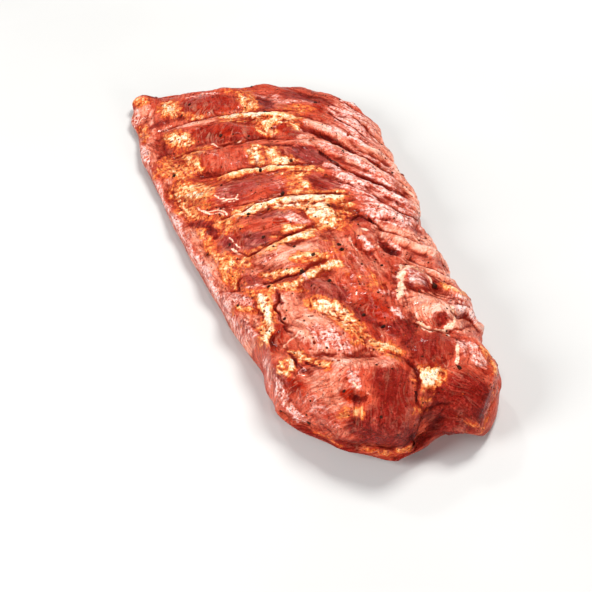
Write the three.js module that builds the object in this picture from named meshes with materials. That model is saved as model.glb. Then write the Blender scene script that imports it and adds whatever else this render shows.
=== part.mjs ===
// Raw marinated rack of pork ribs, lying flat: one closed piece of meat with seams, fat bands, a rolled
// near end and cracked pepper stuck to its skin. Millimetres, +Z up, +Y from the thick near end to the
// thin far end, +X to the right, origin under the middle on the surface it lies on.
import * as THREE from 'three';

// The skin is a sheet measured in millimetres over the meat: p across from the left rim to the right
// rim, q along from the near rim to the far rim.
const skin = { width: 170, length: 400 };
const plan = { width: 140, length: 350 };
const facets = { across: 40, along: 96 }; // both even, so that the underside can take every other one

// Each rounded edge: how far the skin runs up it, how deep it is in plan, and how much sooner the
// underside turns flat than the top does.
const edges = {
  left: { climb: 11, depth: 7, tuck: 1.2 },
  right: { climb: 26, depth: 16, tuck: 1.6 },
  near: { climb: 58, depth: 34, tuck: 1.4 },
  far: { climb: 22, depth: 13, tuck: 1.4 },
};

// The rim, where the meat is widest, seen from above with its height over the surface below: x, y, z.
const corner = {
  nearLeft: [-52.5, -127, 9],
  nearRight: [52.5, -160, 11],
  farLeft: [-63.5, 179, 5],
  farRight: [61.5, 129, 7],
};
const rim = {
  left: [corner.nearLeft, [-52.5, -107, 7], [-51.5, -87, 6], [-56.5, -61, 5], [-60.5, -25, 5],
    [-66.5, 33, 5], [-69, 79, 5], [-70.5, 115, 5], [-68.5, 151, 5], corner.farLeft],
  right: [corner.nearRight, [60.5, -145, 13], [64, -131, 13], [62.5, -111, 13], [64.5, -81, 13],
    [65.5, -40, 13], [67, -5, 13], [67, 29, 13], [67, 67, 12], [70.5, 95, 11], [68.5, 115, 9],
    corner.farRight],
  near: [corner.nearLeft, [-46.5, -142, 10], [-33.5, -156, 10], [-17.5, -168, 10], [-5.5, -177, 10],
    [6.5, -179, 10], [17.5, -173, 14], [29.5, -171, 16], [40.5, -175, 11], corner.nearRight],
  far: [corner.farLeft, [-37.5, 177, 7], [-11.5, 170, 8], [15.5, 160, 9], [42.5, 146, 8],
    corner.farRight],
};

// Thickness of the meat along its length, as [share of the length, height].
const crownHeight = [[0, 36], [0.06, 38], [0.15, 38], [0.3, 36], [0.5, 33], [0.7, 30], [0.85, 26],
  [0.95, 21], [1, 17]];
const leftShoulder = [[0, 30], [0.1, 26], [0.2, 18], [0.35, 13], [0.6, 10], [1, 8]];
const rightShoulder = [[0, 27], [0.1, 27], [0.3, 25], [0.6, 21], [0.85, 17], [1, 11]];
const crownPlace = [[0, 0.5], [0.2, 0.58], [1, 0.62]]; // share of the width, from the left
const crownRoundness = 1.1;

// The hollow under the near right end, where the meat bridges over the surface.
const archHollow = { p: 102, halfWidth: 17, height: 10, reach: 34 };
// How full the underside stays between the rim and where it rests: 1 falls away at once, less is rounder.
const underRoundness = 0.5;
// Shallow furrows between the ribs on the underside.
const underFurrow = { pitch: 30, depth: 1.6, share: 0.45, firstQ: 60, lastQ: 360, margin: 30 };

// Seams between the muscles: path on the skin as [p, q], width and depth.
const seams = [
  { path: [[20, 338], [35, 340], [55, 340], [75, 338.5], [100, 339]], width: 4, depth: 1.6 },
  { path: [[30, 303], [45, 301], [60, 302], [78, 306], [100, 300]], width: 4, depth: 1.8 },
  { path: [[104, 314], [112, 309], [119, 302], [126, 295], [131, 288], [140, 281], [152, 272]],
    width: 6, depth: 3.4 },
  { path: [[40, 269], [60, 270], [78, 270], [98, 270]], width: 4, depth: 1.6 },
  { path: [[108, 283], [111, 275], [114, 267], [118, 261], [123, 256]], width: 4, depth: 5 },
  { path: [[123, 256], [135, 251], [150, 243], [162, 236]], width: 5, depth: 3 },
  { path: [[33, 221], [45, 222.5], [60, 229], [73, 233.5], [80, 237], [95, 236.5], [110, 233]],
    width: 4, depth: 2.6 },
  { path: [[105, 205], [112, 207], [116, 203], [119, 198], [123, 192]], width: 4.5, depth: 5 },
  { path: [[30, 183], [36, 178], [45, 181], [55, 187], [65, 191], [74, 197], [82, 202]],
    width: 4, depth: 3.6 },
  { path: [[38, 146], [48, 148], [58, 151], [66, 156], [74, 161], [80, 166]], width: 4, depth: 3.4 },
  { path: [[14, 140], [20, 144], [24, 152], [28, 156]], width: 3, depth: 2.4 },
  { path: [[43, 135], [41, 126], [36.5, 118], [37, 110], [38, 102], [35, 92]], width: 4, depth: 4.2 },
  { path: [[130, 160], [140, 156], [152, 150], [163, 146]], width: 5, depth: 2.4 },
  { path: [[100, 98], [112, 92], [118, 86], [128, 84], [136, 92], [150, 92]], width: 4, depth: 1.8 },
  { path: [[36, 66], [48, 68], [60, 67], [75, 71], [88, 75]], width: 5, depth: 3.2 },
  { path: [[88, 75], [94, 68], [98, 59], [98.5, 50], [96.5, 43], [94, 37]], width: 5, depth: 7 },
  { path: [[94, 37], [101, 32], [109, 28], [118, 26]], width: 5, depth: 3 },
  { path: [[55, 36], [61, 35.5], [66, 38]], width: 8, depth: 4.5 },
  { path: [[27, 63], [28, 52]], width: 4, depth: 3 },
  { path: [[12, 128], [13, 180], [12, 230], [12, 290], [12, 350]], width: 5, depth: 1 },
];

// Bands of fat and tendon that stand proud of the muscles.
const bands = [
  { path: [[55, 334], [70, 334.5], [85, 333], [102, 330]], width: 9, height: 1.6 },
  { path: [[45, 265], [60, 266], [78, 266], [97, 264]], width: 8, height: 1.8 },
  { path: [[40, 219], [55, 224], [68, 230], [85, 231], [104, 228]], width: 9, height: 2.2 },
  { path: [[42, 176], [60, 184], [75, 191], [86, 196]], width: 7, height: 2 },
  { path: [[48, 144], [60, 147], [72, 154], [83, 160]], width: 7, height: 1.8 },
  { path: [[102, 326], [116, 317], [131, 305], [148, 294], [160, 286]], width: 15, height: 3 },
  { path: [[96, 296], [108, 292], [118, 283], [131, 270], [148, 257], [162, 250]], width: 16,
    height: 3 },
  { path: [[98, 259], [110, 257], [122, 246], [140, 237], [158, 226]], width: 13, height: 2.4 },
  { path: [[110, 218], [126, 214], [142, 205], [158, 196]], width: 16, height: 2 },
  { path: [[118, 184], [134, 178], [148, 172], [160, 166]], width: 15, height: 2.2 },
  { path: [[134, 138], [146, 132], [160, 124]], width: 15, height: 1.8 },
  { path: [[136, 112], [148, 108], [160, 100]], width: 13, height: 2.6 },
  { path: [[31, 132], [31, 116], [28, 100], [18, 82], [10, 70]], width: 8, height: 1.6 },
  { path: [[110, 120], [114, 128], [118, 141], [124, 149], [131, 148], [134, 137]], width: 5,
    height: 1.6 },
  { path: [[4, 100], [5, 180], [5, 260], [5, 340]], width: 8, height: 0.8 },
];

// Swellings of the muscles, and dips where the height is negative.
const swells = [
  { at: [52, 355], half: [24, 15], height: 1.6 },
  { at: [56, 316], half: [26, 15], height: 1.8 },
  { at: [50, 286], half: [24, 17], height: 2 },
  { at: [84, 282], half: [10, 13], height: 1.4 },
  { at: [98, 282], half: [12, 13], height: 1.2 },
  { at: [52, 246], half: [24, 14], height: 2.2 },
  { at: [97, 247], half: [12, 11], height: 1.4 },
  { at: [58, 206], half: [25, 13], height: 2.4 },
  { at: [90, 212], half: [11, 14], height: 1.6 },
  { at: [60, 172], half: [22, 13], height: 2.4 },
  { at: [107, 180], half: [10, 13], height: 2.6 },
  { at: [120, 169], half: [7, 9], height: -3 },
  { at: [91, 152], half: [17, 42], height: 2.2 },
  { at: [126, 136], half: [10, 13], height: 2.4 },
  { at: [69, 134], half: [13, 11], height: 1.4 },
  { at: [56, 84], half: [24, 24], height: 3.4 },
  { at: [95, 108], half: [18, 22], height: 1.4 },
  { at: [124, 106], half: [14, 18], height: 2.2 },
  { at: [116, 72], half: [20, 16], height: 2.4 },
  { at: [66, 34], half: [35, 37], height: 6.2 },
  { at: [120, 36], half: [26, 24], height: 3.4 },
  { at: [105, 50], half: [10, 9], height: 2 },
  { at: [21, 48], half: [16, 20], height: 1.6 },
  { at: [20, 10], half: [22, 12], height: 2 },
  { at: [167, 76], half: [26, 19], height: -5.5 },
  { at: [170, 206], half: [34, 46], height: -4.6 },
  { at: [169, 157], half: [26, 14], height: -2.6 },
  { at: [169, 283], half: [15, 10], height: -2.8 },
  { at: [163, 98], half: [9, 5], height: 3 },
  { at: [166, 185], half: [12, 12], height: 2 },
  { at: [166, 262], half: [12, 12], height: 2 },
  { at: [166, 310], half: [12, 14], height: 2.4 },
  { at: [6, 388], half: [12, 9], height: 2.6 },
  { at: [152, 372], half: [8, 7], height: 3 },
  { at: [156, 4], half: [38, 50], height: -4.6 },
  { at: [105, 2], half: [22, 42], height: -8 },
  { at: [22, 2], half: [32, 24], height: -4 },
  { at: [126, 4], half: [14, 30], height: 5 },
  { at: [74, 2], half: [20, 22], height: -4 },
  { at: [62, 394], half: [56, 18], height: -3.4 },
  { at: [0, 338], half: [12, 28], height: -2.6 },
];

// Small unevenness all over: slow waves over the skin, each with its own length and direction.
const waves = { count: 9, longest: 46, shortest: 15, height: 0.42, seed: 7 };

// Cracked pepper: [p, q, size across]. Flat, angular crumbs that stand out of the skin.
const pepper = [
  [66, 269, 3], [67, 263, 3.4], [78, 266, 2.6], [74, 238, 4], [72, 233, 3], [49, 219, 3],
  [61, 222, 2.6], [95, 219, 3.4], [17, 278, 3.6], [88, 275, 3.2], [42, 254, 2.6], [13, 187, 2.6],
  [30, 193, 2.8], [51, 193, 3.4], [91, 178, 3.2], [91, 172, 3.8], [62, 152, 3.6], [74, 168.5, 3.2],
  [65, 177, 2.8], [54, 176, 2.6], [76, 144, 3.4], [97, 155, 2.6], [109, 151, 2.6], [85, 108, 3],
  [39, 108, 2.8], [93, 98, 3.2], [136, 137, 3.6], [124, 47, 3.4], [57, 36, 2.6], [28, 8, 2.8],
  [77, 27, 2.6], [40, 141, 3], [84, 331, 3], [54, 311, 3.2], [70, 306, 2.6], [41, 358, 2.8],
  [34, 351, 2.6], [119, 353, 3], [13, 121, 2.6], [43, 53, 2.6],
];
// A crumb stands up from the skin by a share of its size, with steep sides and an uneven outline.
const crumb = { rise: 0.36, topShare: 0.72, unevenness: 0.28, seed: 21 };

const meatColour = 0xb4553a;
const meatRoughness = 0.42;

// Seeded draw, so that every build gives the same part.
function randomFrom(seed) {
  let state = seed >>> 0;
  return () => {
    state = (Math.imul(state, 1664525) + 1013904223) >>> 0;
    return state / 4294967296;
  };
}

const clamp = (value, low, high) => Math.min(high, Math.max(low, value));

// Straight-line reading of a table of [place, value] rows.
function readTable(rows, place) {
  const last = rows.length - 1;
  if (place <= rows[0][0]) return rows[0][1];
  for (let i = 0; i < last; i++) {
    const [a, va] = rows[i];
    const [b, vb] = rows[i + 1];
    if (place <= b) return va + ((vb - va) * (place - a)) / (b - a);
  }
  return rows[last][1];
}

// Smooth curve through points, with its place given as a share of its length.
function curveThrough(points) {
  const steps = [0];
  for (let i = 1; i < points.length; i++) {
    const dx = points[i][0] - points[i - 1][0];
    const dy = points[i][1] - points[i - 1][1];
    steps.push(steps[i - 1] + Math.hypot(dx, dy));
  }
  const total = steps[steps.length - 1];
  const knots = steps.map((step) => step / total);
  const last = points.length - 1;
  const slope = (i, axis) => {
    const a = Math.max(i - 1, 0);
    const b = Math.min(i + 1, last);
    return (points[b][axis] - points[a][axis]) / (knots[b] - knots[a]);
  };
  return (place) => {
    const t = clamp(place, 0, 1);
    let i = 0;
    while (i < last - 1 && t > knots[i + 1]) i++;
    const h = knots[i + 1] - knots[i];
    const s = (t - knots[i]) / h;
    const a = 2 * s ** 3 - 3 * s ** 2 + 1;
    const b = s ** 3 - 2 * s ** 2 + s;
    const c = -2 * s ** 3 + 3 * s ** 2;
    const d = s ** 3 - s ** 2;
    return [0, 1, 2].map((axis) => a * points[i][axis] + b * h * slope(i, axis)
      + c * points[i + 1][axis] + d * h * slope(i + 1, axis));
  };
}

const rimCurve = {
  left: curveThrough(rim.left),
  right: curveThrough(rim.right),
  near: curveThrough(rim.near),
  far: curveThrough(rim.far),
};

// The sheet stretched between the four rim curves, at share u from the left and w from the near end.
function rimSheet(u, w) {
  const left = rimCurve.left(w);
  const right = rimCurve.right(w);
  const near = rimCurve.near(u);
  const far = rimCurve.far(u);
  return [0, 1, 2].map((axis) => (1 - u) * left[axis] + u * right[axis]
    + (1 - w) * near[axis] + w * far[axis]
    - (1 - u) * (1 - w) * corner.nearLeft[axis] - u * (1 - w) * corner.nearRight[axis]
    - (1 - u) * w * corner.farLeft[axis] - u * w * corner.farRight[axis]);
}

// Where a place on the skin lies in plan, and how far it has risen over the rounded edge (0 to 1).
function overEdges(place, skinSize, planSize, first, last) {
  const angleFirst = (clamp(place / first.climb, 0, 1) * Math.PI) / 2;
  const angleLast = (clamp((skinSize - place) / last.climb, 0, 1) * Math.PI) / 2;
  const flat = (place - first.climb) / (skinSize - first.climb - last.climb);
  let inward = first.depth + flat * (planSize - first.depth - last.depth);
  if (place < first.climb) inward = first.depth * (1 - Math.cos(angleFirst));
  if (skinSize - place < last.climb) inward = planSize - last.depth * (1 - Math.cos(angleLast));
  const tucked = (angle, edge) => Math.sin(Math.min(angle * edge.tuck, Math.PI / 2));
  return {
    share: inward / planSize,
    rise: Math.sin(angleFirst) * Math.sin(angleLast),
    tuck: tucked(angleFirst, first) * tucked(angleLast, last),
  };
}

function crownAt(u, w) {
  const crown = readTable(crownHeight, w);
  const place = readTable(crownPlace, w);
  const onLeft = u < place;
  const shoulder = readTable(onLeft ? leftShoulder : rightShoulder, w);
  const inward = onLeft ? u / place : (1 - u) / (1 - place);
  return shoulder + (crown - shoulder) * Math.sin((clamp(inward, 0, 1) * Math.PI) / 2) ** crownRoundness;
}

// Height of the underside: flat where it rests, raised in the furrows and in the arch.
function underHeight(p, q) {
  const across = clamp(1 - ((p - archHollow.p) / archHollow.halfWidth) ** 2, 0, 1);
  const inward = clamp(1 - (q / archHollow.reach) ** 2, 0, 1);
  const arch = archHollow.height * Math.sqrt(across) * inward;
  const inRange = q > underFurrow.firstQ && q < underFurrow.lastQ;
  const fromSide = Math.min(p, skin.width - p) / underFurrow.margin;
  const phase = Math.cos(((q - underFurrow.firstQ) * 2 * Math.PI) / underFurrow.pitch);
  const cut = clamp((-phase - 1 + 2 * underFurrow.share) / (2 * underFurrow.share), 0, 1);
  const furrow = inRange ? underFurrow.depth * cut * clamp(fromSide, 0, 1) : 0;
  return Math.max(arch, furrow);
}

function baseSkin(p, q) {
  const across = overEdges(p, skin.width, plan.width, edges.left, edges.right);
  const along = overEdges(q, skin.length, plan.length, edges.near, edges.far);
  const [x, y, rimHeight] = rimSheet(across.share, along.share);
  const top = crownAt(across.share, along.share);
  const rise = across.rise * along.rise;
  const tuck = across.tuck * along.tuck;
  const under = underHeight(p, q);
  return {
    top: [x, y, rimHeight + (top - rimHeight) * rise],
    under: [x, y, under + Math.max(rimHeight - under, 0) * (1 - tuck) ** underRoundness],
    tuck,
  };
}

// Distance on the skin to a path, with the share of the way along at which the path is nearest.
function distanceToPath(p, q, path) {
  let best = { distance: Infinity, share: 0 };
  const last = path.length - 1;
  for (let i = 0; i < last; i++) {
    const [ap, aq] = path[i];
    const bp = path[i + 1][0] - ap;
    const bq = path[i + 1][1] - aq;
    const t = clamp(((p - ap) * bp + (q - aq) * bq) / (bp * bp + bq * bq), 0, 1);
    const distance = Math.hypot(p - ap - t * bp, q - aq - t * bq);
    if (distance < best.distance) best = { distance, share: (i + t) / last };
  }
  return best;
}

// Height of a rounded ridge along a path, lower towards its two ends.
function alongPath(p, q, path, width) {
  const { distance, share } = distanceToPath(p, q, path);
  const offset = distance / width;
  if (offset >= 1) return 0;
  const ends = 0.45 + 0.55 * Math.sin(Math.PI * share) ** 0.5;
  return (1 - offset * offset) ** 2 * ends;
}

function swellAt(p, q, swell) {
  const [a, b] = swell.half;
  const offset = ((p - swell.at[0]) / a) ** 2 + ((q - swell.at[1]) / b) ** 2;
  return offset < 1 ? swell.height * (1 - offset) ** 1.5 : 0;
}

function makeWaves() {
  const draw = randomFrom(waves.seed);
  const made = [];
  for (let i = 0; i < waves.count; i++) {
    const length = waves.shortest + (waves.longest - waves.shortest) * draw();
    const turn = 2 * Math.PI * draw();
    const phase = 2 * Math.PI * draw();
    made.push({ kp: Math.cos(turn) / length, kq: Math.sin(turn) / length, phase });
  }
  return made;
}
const skinWaves = makeWaves();

// How far the finished skin stands out of the base form.
function relief(p, q) {
  let height = 0;
  for (const wave of skinWaves) {
    height += waves.height * Math.sin(2 * Math.PI * (wave.kp * p + wave.kq * q) + wave.phase);
  }
  for (const swell of swells) height += swellAt(p, q, swell);
  for (const band of bands) height += band.height * alongPath(p, q, band.path, band.width / 2);
  for (const seam of seams) {
    height -= seam.depth * alongPath(p, q, seam.path, seam.width / 2);
  }
  return height;
}

const onRim = (i, j) => i === 0 || j === 0 || i === facets.across || j === facets.along;

const gridIndex = (i, j) => i + j * (facets.across + 1);

// Grid points that move onto the bottom of a seam. A stretch that runs more across than along takes the
// nearest point of every column, and any other the nearest point of every row, so no groove is broken.
function pointsOnSeams() {
  const cell = [skin.width / facets.across, skin.length / facets.along];
  const moved = new Map();
  const follow = (a, b) => {
    const cells = [0, 1].map((axis) => Math.abs(b[axis] - a[axis]) / cell[axis]);
    const main = cells[0] >= cells[1] ? 0 : 1;
    const side = 1 - main;
    const [from, to] = a[main] < b[main] ? [a, b] : [b, a];
    for (let n = Math.ceil(from[main] / cell[main]); n * cell[main] <= to[main]; n++) {
      const share = (n * cell[main] - from[main]) / (to[main] - from[main]);
      const offset = from[side] + share * (to[side] - from[side]);
      const m = Math.round(offset / cell[side]);
      const [i, j] = main === 0 ? [n, m] : [m, n];
      const place = main === 0 ? [n * cell[0], offset] : [offset, n * cell[1]];
      if (!onRim(i, j)) moved.set(gridIndex(i, j), place);
    }
  };
  for (const { path } of seams) path.slice(1).forEach((point, k) => follow(path[k], point));
  return moved;
}
const onSeam = pointsOnSeams();

// The inner grid point of the top that lies nearest to a place.
function nearestGridPoint(p, q) {
  const i = Math.round((p / skin.width) * facets.across);
  const j = Math.round((q / skin.length) * facets.along);
  return gridIndex(i, j);
}
const pepperAt = new Map(pepper.map(([p, q, size]) => [nearestGridPoint(p, q), { p, q, size }]));

// Vertices and triangles of the base form: the top takes every grid point, the underside every other.
function layOutGrid() {
  const { across, along } = facets;
  const points = [];
  const places = [];
  const triangles = [];
  const top = [];
  const addPoint = (i, j, side) => {
    const even = [(i / across) * skin.width, (j / along) * skin.length];
    const peppered = side === 'top' && pepperAt.get(gridIndex(i, j));
    const moved = (side === 'top' && onSeam.get(gridIndex(i, j))) || even;
    const [p, q] = peppered ? [peppered.p, peppered.q] : moved;
    const base = baseSkin(p, q);
    const weight = side === 'top' ? 1 : 1 - base.tuck;
    points.push(...base[side]);
    places.push({ p, q, out: relief(p, q) * weight, above: side === 'under' ? top[j][i] : undefined });
    return places.length - 1;
  };
  for (let j = 0; j <= along; j++) {
    top.push([]);
    for (let i = 0; i <= across; i++) top[j].push(addPoint(i, j, 'top'));
  }
  for (let j = 0; j < along; j++) {
    for (let i = 0; i < across; i++) {
      const [a, b, c, d] = [top[j][i], top[j][i + 1], top[j + 1][i + 1], top[j + 1][i]];
      const acrossIsDeeper = places[a].out + places[c].out < places[b].out + places[d].out;
      if (acrossIsDeeper) triangles.push([a, b, c], [a, c, d]);
      else triangles.push([a, b, d], [b, c, d]);
    }
  }
  const under = new Map();
  const underIndex = (i, j) => {
    if (onRim(i, j)) return top[j][i];
    const key = gridIndex(i, j);
    if (!under.has(key)) under.set(key, addPoint(i, j, 'under'));
    return under.get(key);
  };
  for (let j = 0; j < along; j += 2) {
    for (let i = 0; i < across; i += 2) {
      const ring = [[i, j], [i + 1, j], [i + 2, j], [i + 2, j + 1], [i + 2, j + 2],
        [i + 1, j + 2], [i, j + 2], [i, j + 1]];
      const kept = ring.filter(([a, b]) => (a % 2 === 0 && b % 2 === 0) || onRim(a, b));
      const corners = kept.map(([a, b]) => underIndex(a, b));
      fanUnder(corners, kept, triangles);
    }
  }
  return { points, places, triangles };
}

// Splits one cell of the underside, which has extra corners where it meets the rim. The fan starts at
// the extra corner, or at the one inner corner where two sides of the rim meet.
function fanUnder(corners, cells, triangles) {
  const count = corners.length;
  const extra = cells.findIndex(([a, b]) => a % 2 === 1 || b % 2 === 1);
  const inner = cells.findIndex(([a, b]) => !onRim(a, b));
  const start = Math.max(count === 6 ? inner : extra, 0);
  for (let k = 1; k < count - 1; k++) {
    triangles.push([corners[start], corners[(start + k + 1) % count], corners[(start + k) % count]]);
  }
}

// The base form moved outwards by its relief, as points and triangles.
function makeMeat() {
  const { points, places, triangles } = layOutGrid();
  const geometry = new THREE.BufferGeometry();
  geometry.setAttribute('position', new THREE.Float32BufferAttribute(points, 3));
  geometry.setIndex(triangles.flat());
  geometry.computeVertexNormals();
  const { position, normal } = geometry.attributes;
  // The underside follows the top sideways only, so the meat between them never thins to nothing.
  const vertices = places.map(({ out, above }, i) => {
    const outward = new THREE.Vector3().fromBufferAttribute(normal, above ?? i);
    if (above !== undefined) outward.setZ(0).normalize();
    const vertex = new THREE.Vector3().fromBufferAttribute(position, i).addScaledVector(outward, out);
    vertex.z = Math.max(vertex.z, 0);
    return vertex;
  });
  return { vertices, triangles };
}

// Raises a crumb of cracked pepper around one vertex: a low ring cut into the skin, a smaller ring
// above it, and the vertex itself as the crumb's peak.
function raiseCrumb(meat, peak, size, draw) {
  const { vertices } = meat;
  const around = meat.triangles.filter((triangle) => triangle.includes(peak));
  const rest = meat.triangles.filter((triangle) => !triangle.includes(peak));
  const centre = vertices[peak].clone();
  const upward = new THREE.Vector3();
  const turned = around.map(([a, b, c]) => (a === peak ? [b, c] : b === peak ? [c, a] : [a, b]));
  for (const [a, b] of turned) {
    const side = vertices[a].clone().sub(centre);
    upward.add(side.cross(vertices[b].clone().sub(centre)));
  }
  upward.normalize();
  const rise = size * crumb.rise;
  const rings = new Map();
  for (const [neighbour] of turned) {
    const spoke = vertices[neighbour].clone().sub(centre);
    const uneven = 1 + crumb.unevenness * (2 * draw() - 1);
    const reach = Math.min((size / 2) * uneven, spoke.length() / 2);
    spoke.setLength(reach);
    const low = centre.clone().add(spoke);
    const lift = rise * (1 - crumb.unevenness * draw());
    const high = centre.clone().addScaledVector(spoke, crumb.topShare).addScaledVector(upward, lift);
    rings.set(neighbour, [vertices.push(low) - 1, vertices.push(high) - 1]);
  }
  vertices[peak].addScaledVector(upward, rise);
  for (const [a, b] of turned) {
    const [lowA, highA] = rings.get(a);
    const [lowB, highB] = rings.get(b);
    rest.push([peak, highA, highB], [highA, lowA, lowB], [highA, lowB, highB]);
    rest.push([lowA, a, b], [lowA, b, lowB]);
  }
  return { vertices, triangles: rest };
}

function pressPepper(meat) {
  const draw = randomFrom(crumb.seed);
  const press = (whole, [peak, { size }]) => raiseCrumb(whole, peak, size, draw);
  return [...pepperAt].reduce(press, meat);
}

function geometryFrom({ vertices, triangles }) {
  const geometry = new THREE.BufferGeometry().setFromPoints(vertices);
  geometry.setIndex(triangles.flat());
  return geometry;
}

// Puts the middle of the footprint over the origin and the resting face at height 0.
function centreOverOrigin(geometry) {
  geometry.computeBoundingBox();
  const { min, max } = geometry.boundingBox;
  geometry.translate(-(min.x + max.x) / 2, -(min.y + max.y) / 2, -min.z);
  return geometry;
}

const rackGeometry = centreOverOrigin(geometryFrom(pressPepper(makeMeat())));
rackGeometry.computeVertexNormals();
const rackMaterial = new THREE.MeshStandardMaterial({
  color: meatColour,
  roughness: meatRoughness,
  metalness: 0,
});
const rack = new THREE.Mesh(rackGeometry, rackMaterial);
rack.name = 'rack';

const ribs = new THREE.Group();
ribs.add(rack);
export default ribs;
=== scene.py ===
import math

import bmesh
import bpy
import numpy as np
from mathutils import Matrix, Vector


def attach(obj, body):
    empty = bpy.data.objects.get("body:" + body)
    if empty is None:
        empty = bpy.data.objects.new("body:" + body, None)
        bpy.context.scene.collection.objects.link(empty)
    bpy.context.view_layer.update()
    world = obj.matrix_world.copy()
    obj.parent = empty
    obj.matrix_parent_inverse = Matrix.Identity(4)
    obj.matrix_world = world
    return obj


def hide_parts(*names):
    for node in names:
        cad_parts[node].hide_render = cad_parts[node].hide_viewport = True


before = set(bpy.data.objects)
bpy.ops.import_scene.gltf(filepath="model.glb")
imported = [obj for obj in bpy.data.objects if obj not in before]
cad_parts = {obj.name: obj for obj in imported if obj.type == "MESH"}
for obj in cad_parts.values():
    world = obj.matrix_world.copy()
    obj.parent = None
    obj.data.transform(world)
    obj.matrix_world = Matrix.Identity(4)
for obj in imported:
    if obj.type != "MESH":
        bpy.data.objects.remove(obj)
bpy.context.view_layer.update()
mm = 0.001

camera = {  # millimetres and degrees
    "place": (-234.8, -882.0, 707.7),
    "heading": 14.39,
    "down": 38.81,
    "roll": -1.63,
    "lens": 125.5,
    "sensor": 36,
    "nearest": 50,
}

form = {
    "skin": (170.0, 400.0),  # width and length measured over the meat
    "plan": (140.0, 350.0),
    "cells": (180, 430),  # both even: the underside takes every other point
    "edges": {  # how far the skin climbs the edge, its depth in plan, how much sooner the underside is flat
        "left": (11, 7, 1.2),
        "right": (26, 16, 1.6),
        "near": (58, 34, 1.4),
        "far": (22, 13, 1.4),
    },
    "crownHeight": [(0, 36), (0.06, 38), (0.15, 38), (0.3, 36), (0.5, 33), (0.7, 30), (0.85, 26), (0.95, 21),
                    (1, 17)],
    "leftShoulder": [(0, 30), (0.1, 26), (0.2, 18), (0.35, 13), (0.6, 10), (1, 8)],
    "rightShoulder": [(0, 27), (0.1, 27), (0.3, 25), (0.6, 21), (0.85, 17), (1, 11)],
    "crownPlace": [(0, 0.5), (0.2, 0.58), (1, 0.62)],
    "crownRoundness": 1.1,
    "underRoundness": 0.5,
    "arch": {"p": 102, "halfWidth": 17, "height": 10, "reach": 34},  # hollow under the near end
    "footShift": (0.024, -1.702),  # puts the middle of the footprint over the origin
}

corner = {
    "nearLeft": (-52.5, -127, 9),
    "nearRight": (52.5, -160, 11),
    "farLeft": (-63.5, 179, 5),
    "farRight": (61.5, 129, 7),
}
rim = {
    "left": [corner["nearLeft"], (-52.5, -107, 7), (-51.5, -87, 6), (-56.5, -61, 5), (-60.5, -25, 5),
             (-66.5, 33, 5), (-69, 79, 5), (-70.5, 115, 5), (-68.5, 151, 5), corner["farLeft"]],
    "right": [corner["nearRight"], (60.5, -145, 13), (64, -131, 13), (62.5, -111, 13), (64.5, -81, 13),
              (65.5, -40, 13), (67, -5, 13), (67, 29, 13), (67, 67, 12), (70.5, 95, 11), (68.5, 115, 9),
              corner["farRight"]],
    "near": [corner["nearLeft"], (-46.5, -142, 10), (-33.5, -156, 10), (-17.5, -168, 10), (-5.5, -177, 10),
             (6.5, -179, 10), (17.5, -173, 14), (29.5, -171, 16), (40.5, -175, 11), corner["nearRight"]],
    "far": [corner["farLeft"], (-37.5, 177, 7), (-11.5, 170, 8), (15.5, 160, 9), (42.5, 146, 8),
            corner["farRight"]],
}


def curveThrough(points):  # smooth curve whose place is given as a share of its length
    knots = np.array(points, float)
    steps = np.linalg.norm(np.diff(knots[:, :2], axis=0), axis=1)
    share = np.concatenate([[0], np.cumsum(steps)]) / steps.sum()
    slope = np.zeros_like(knots)
    slope[1:-1] = (knots[2:] - knots[:-2]) / (share[2:] - share[:-2])[:, None]
    slope[0] = (knots[1] - knots[0]) / (share[1] - share[0])
    slope[-1] = (knots[-1] - knots[-2]) / (share[-1] - share[-2])

    def at(place):
        t = np.clip(place, 0, 1)
        i = np.clip(np.searchsorted(share, t, side="right") - 1, 0, len(share) - 2)
        h = (share[i + 1] - share[i])[..., None]
        s = (t - share[i])[..., None] / h
        return ((2 * s**3 - 3 * s**2 + 1) * knots[i] + (s**3 - 2 * s**2 + s) * h * slope[i]
                + (3 * s**2 - 2 * s**3) * knots[i + 1] + (s**3 - s**2) * h * slope[i + 1])

    return at


rimCurve = {side: curveThrough(points) for side, points in rim.items()}


def rimSheet(u, w):  # the sheet stretched between the four rim curves
    across, along = u[..., None], w[..., None]
    corners = {name: np.array(place, float) for name, place in corner.items()}
    return ((1 - across) * rimCurve["left"](w) + across * rimCurve["right"](w)
            + (1 - along) * rimCurve["near"](u) + along * rimCurve["far"](u)
            - (1 - across) * (1 - along) * corners["nearLeft"] - across * (1 - along) * corners["nearRight"]
            - (1 - across) * along * corners["farLeft"] - across * along * corners["farRight"])


def overEdges(place, skinSize, planSize, first, last):  # share in plan, rise over the edge, tuck below it
    angleFirst = np.clip(place / first[0], 0, 1) * np.pi / 2
    angleLast = np.clip((skinSize - place) / last[0], 0, 1) * np.pi / 2
    flat = (place - first[0]) / (skinSize - first[0] - last[0])
    inward = first[1] + flat * (planSize - first[1] - last[1])
    inward = np.where(place < first[0], first[1] * (1 - np.cos(angleFirst)), inward)
    inward = np.where(skinSize - place < last[0], planSize - last[1] * (1 - np.cos(angleLast)), inward)
    tuck = (np.sin(np.minimum(angleFirst * first[2], np.pi / 2))
            * np.sin(np.minimum(angleLast * last[2], np.pi / 2)))
    return inward / planSize, np.sin(angleFirst) * np.sin(angleLast), tuck


def readTable(rows, place):
    return np.interp(place, [row[0] for row in rows], [row[1] for row in rows])


def crownAt(u, w):
    crown, place = readTable(form["crownHeight"], w), readTable(form["crownPlace"], w)
    onLeft = u < place
    shoulder = np.where(onLeft, readTable(form["leftShoulder"], w), readTable(form["rightShoulder"], w))
    inward = np.clip(np.where(onLeft, u / place, (1 - u) / (1 - place)), 0, 1)
    return shoulder + (crown - shoulder) * np.sin(inward * np.pi / 2) ** form["crownRoundness"]


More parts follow.
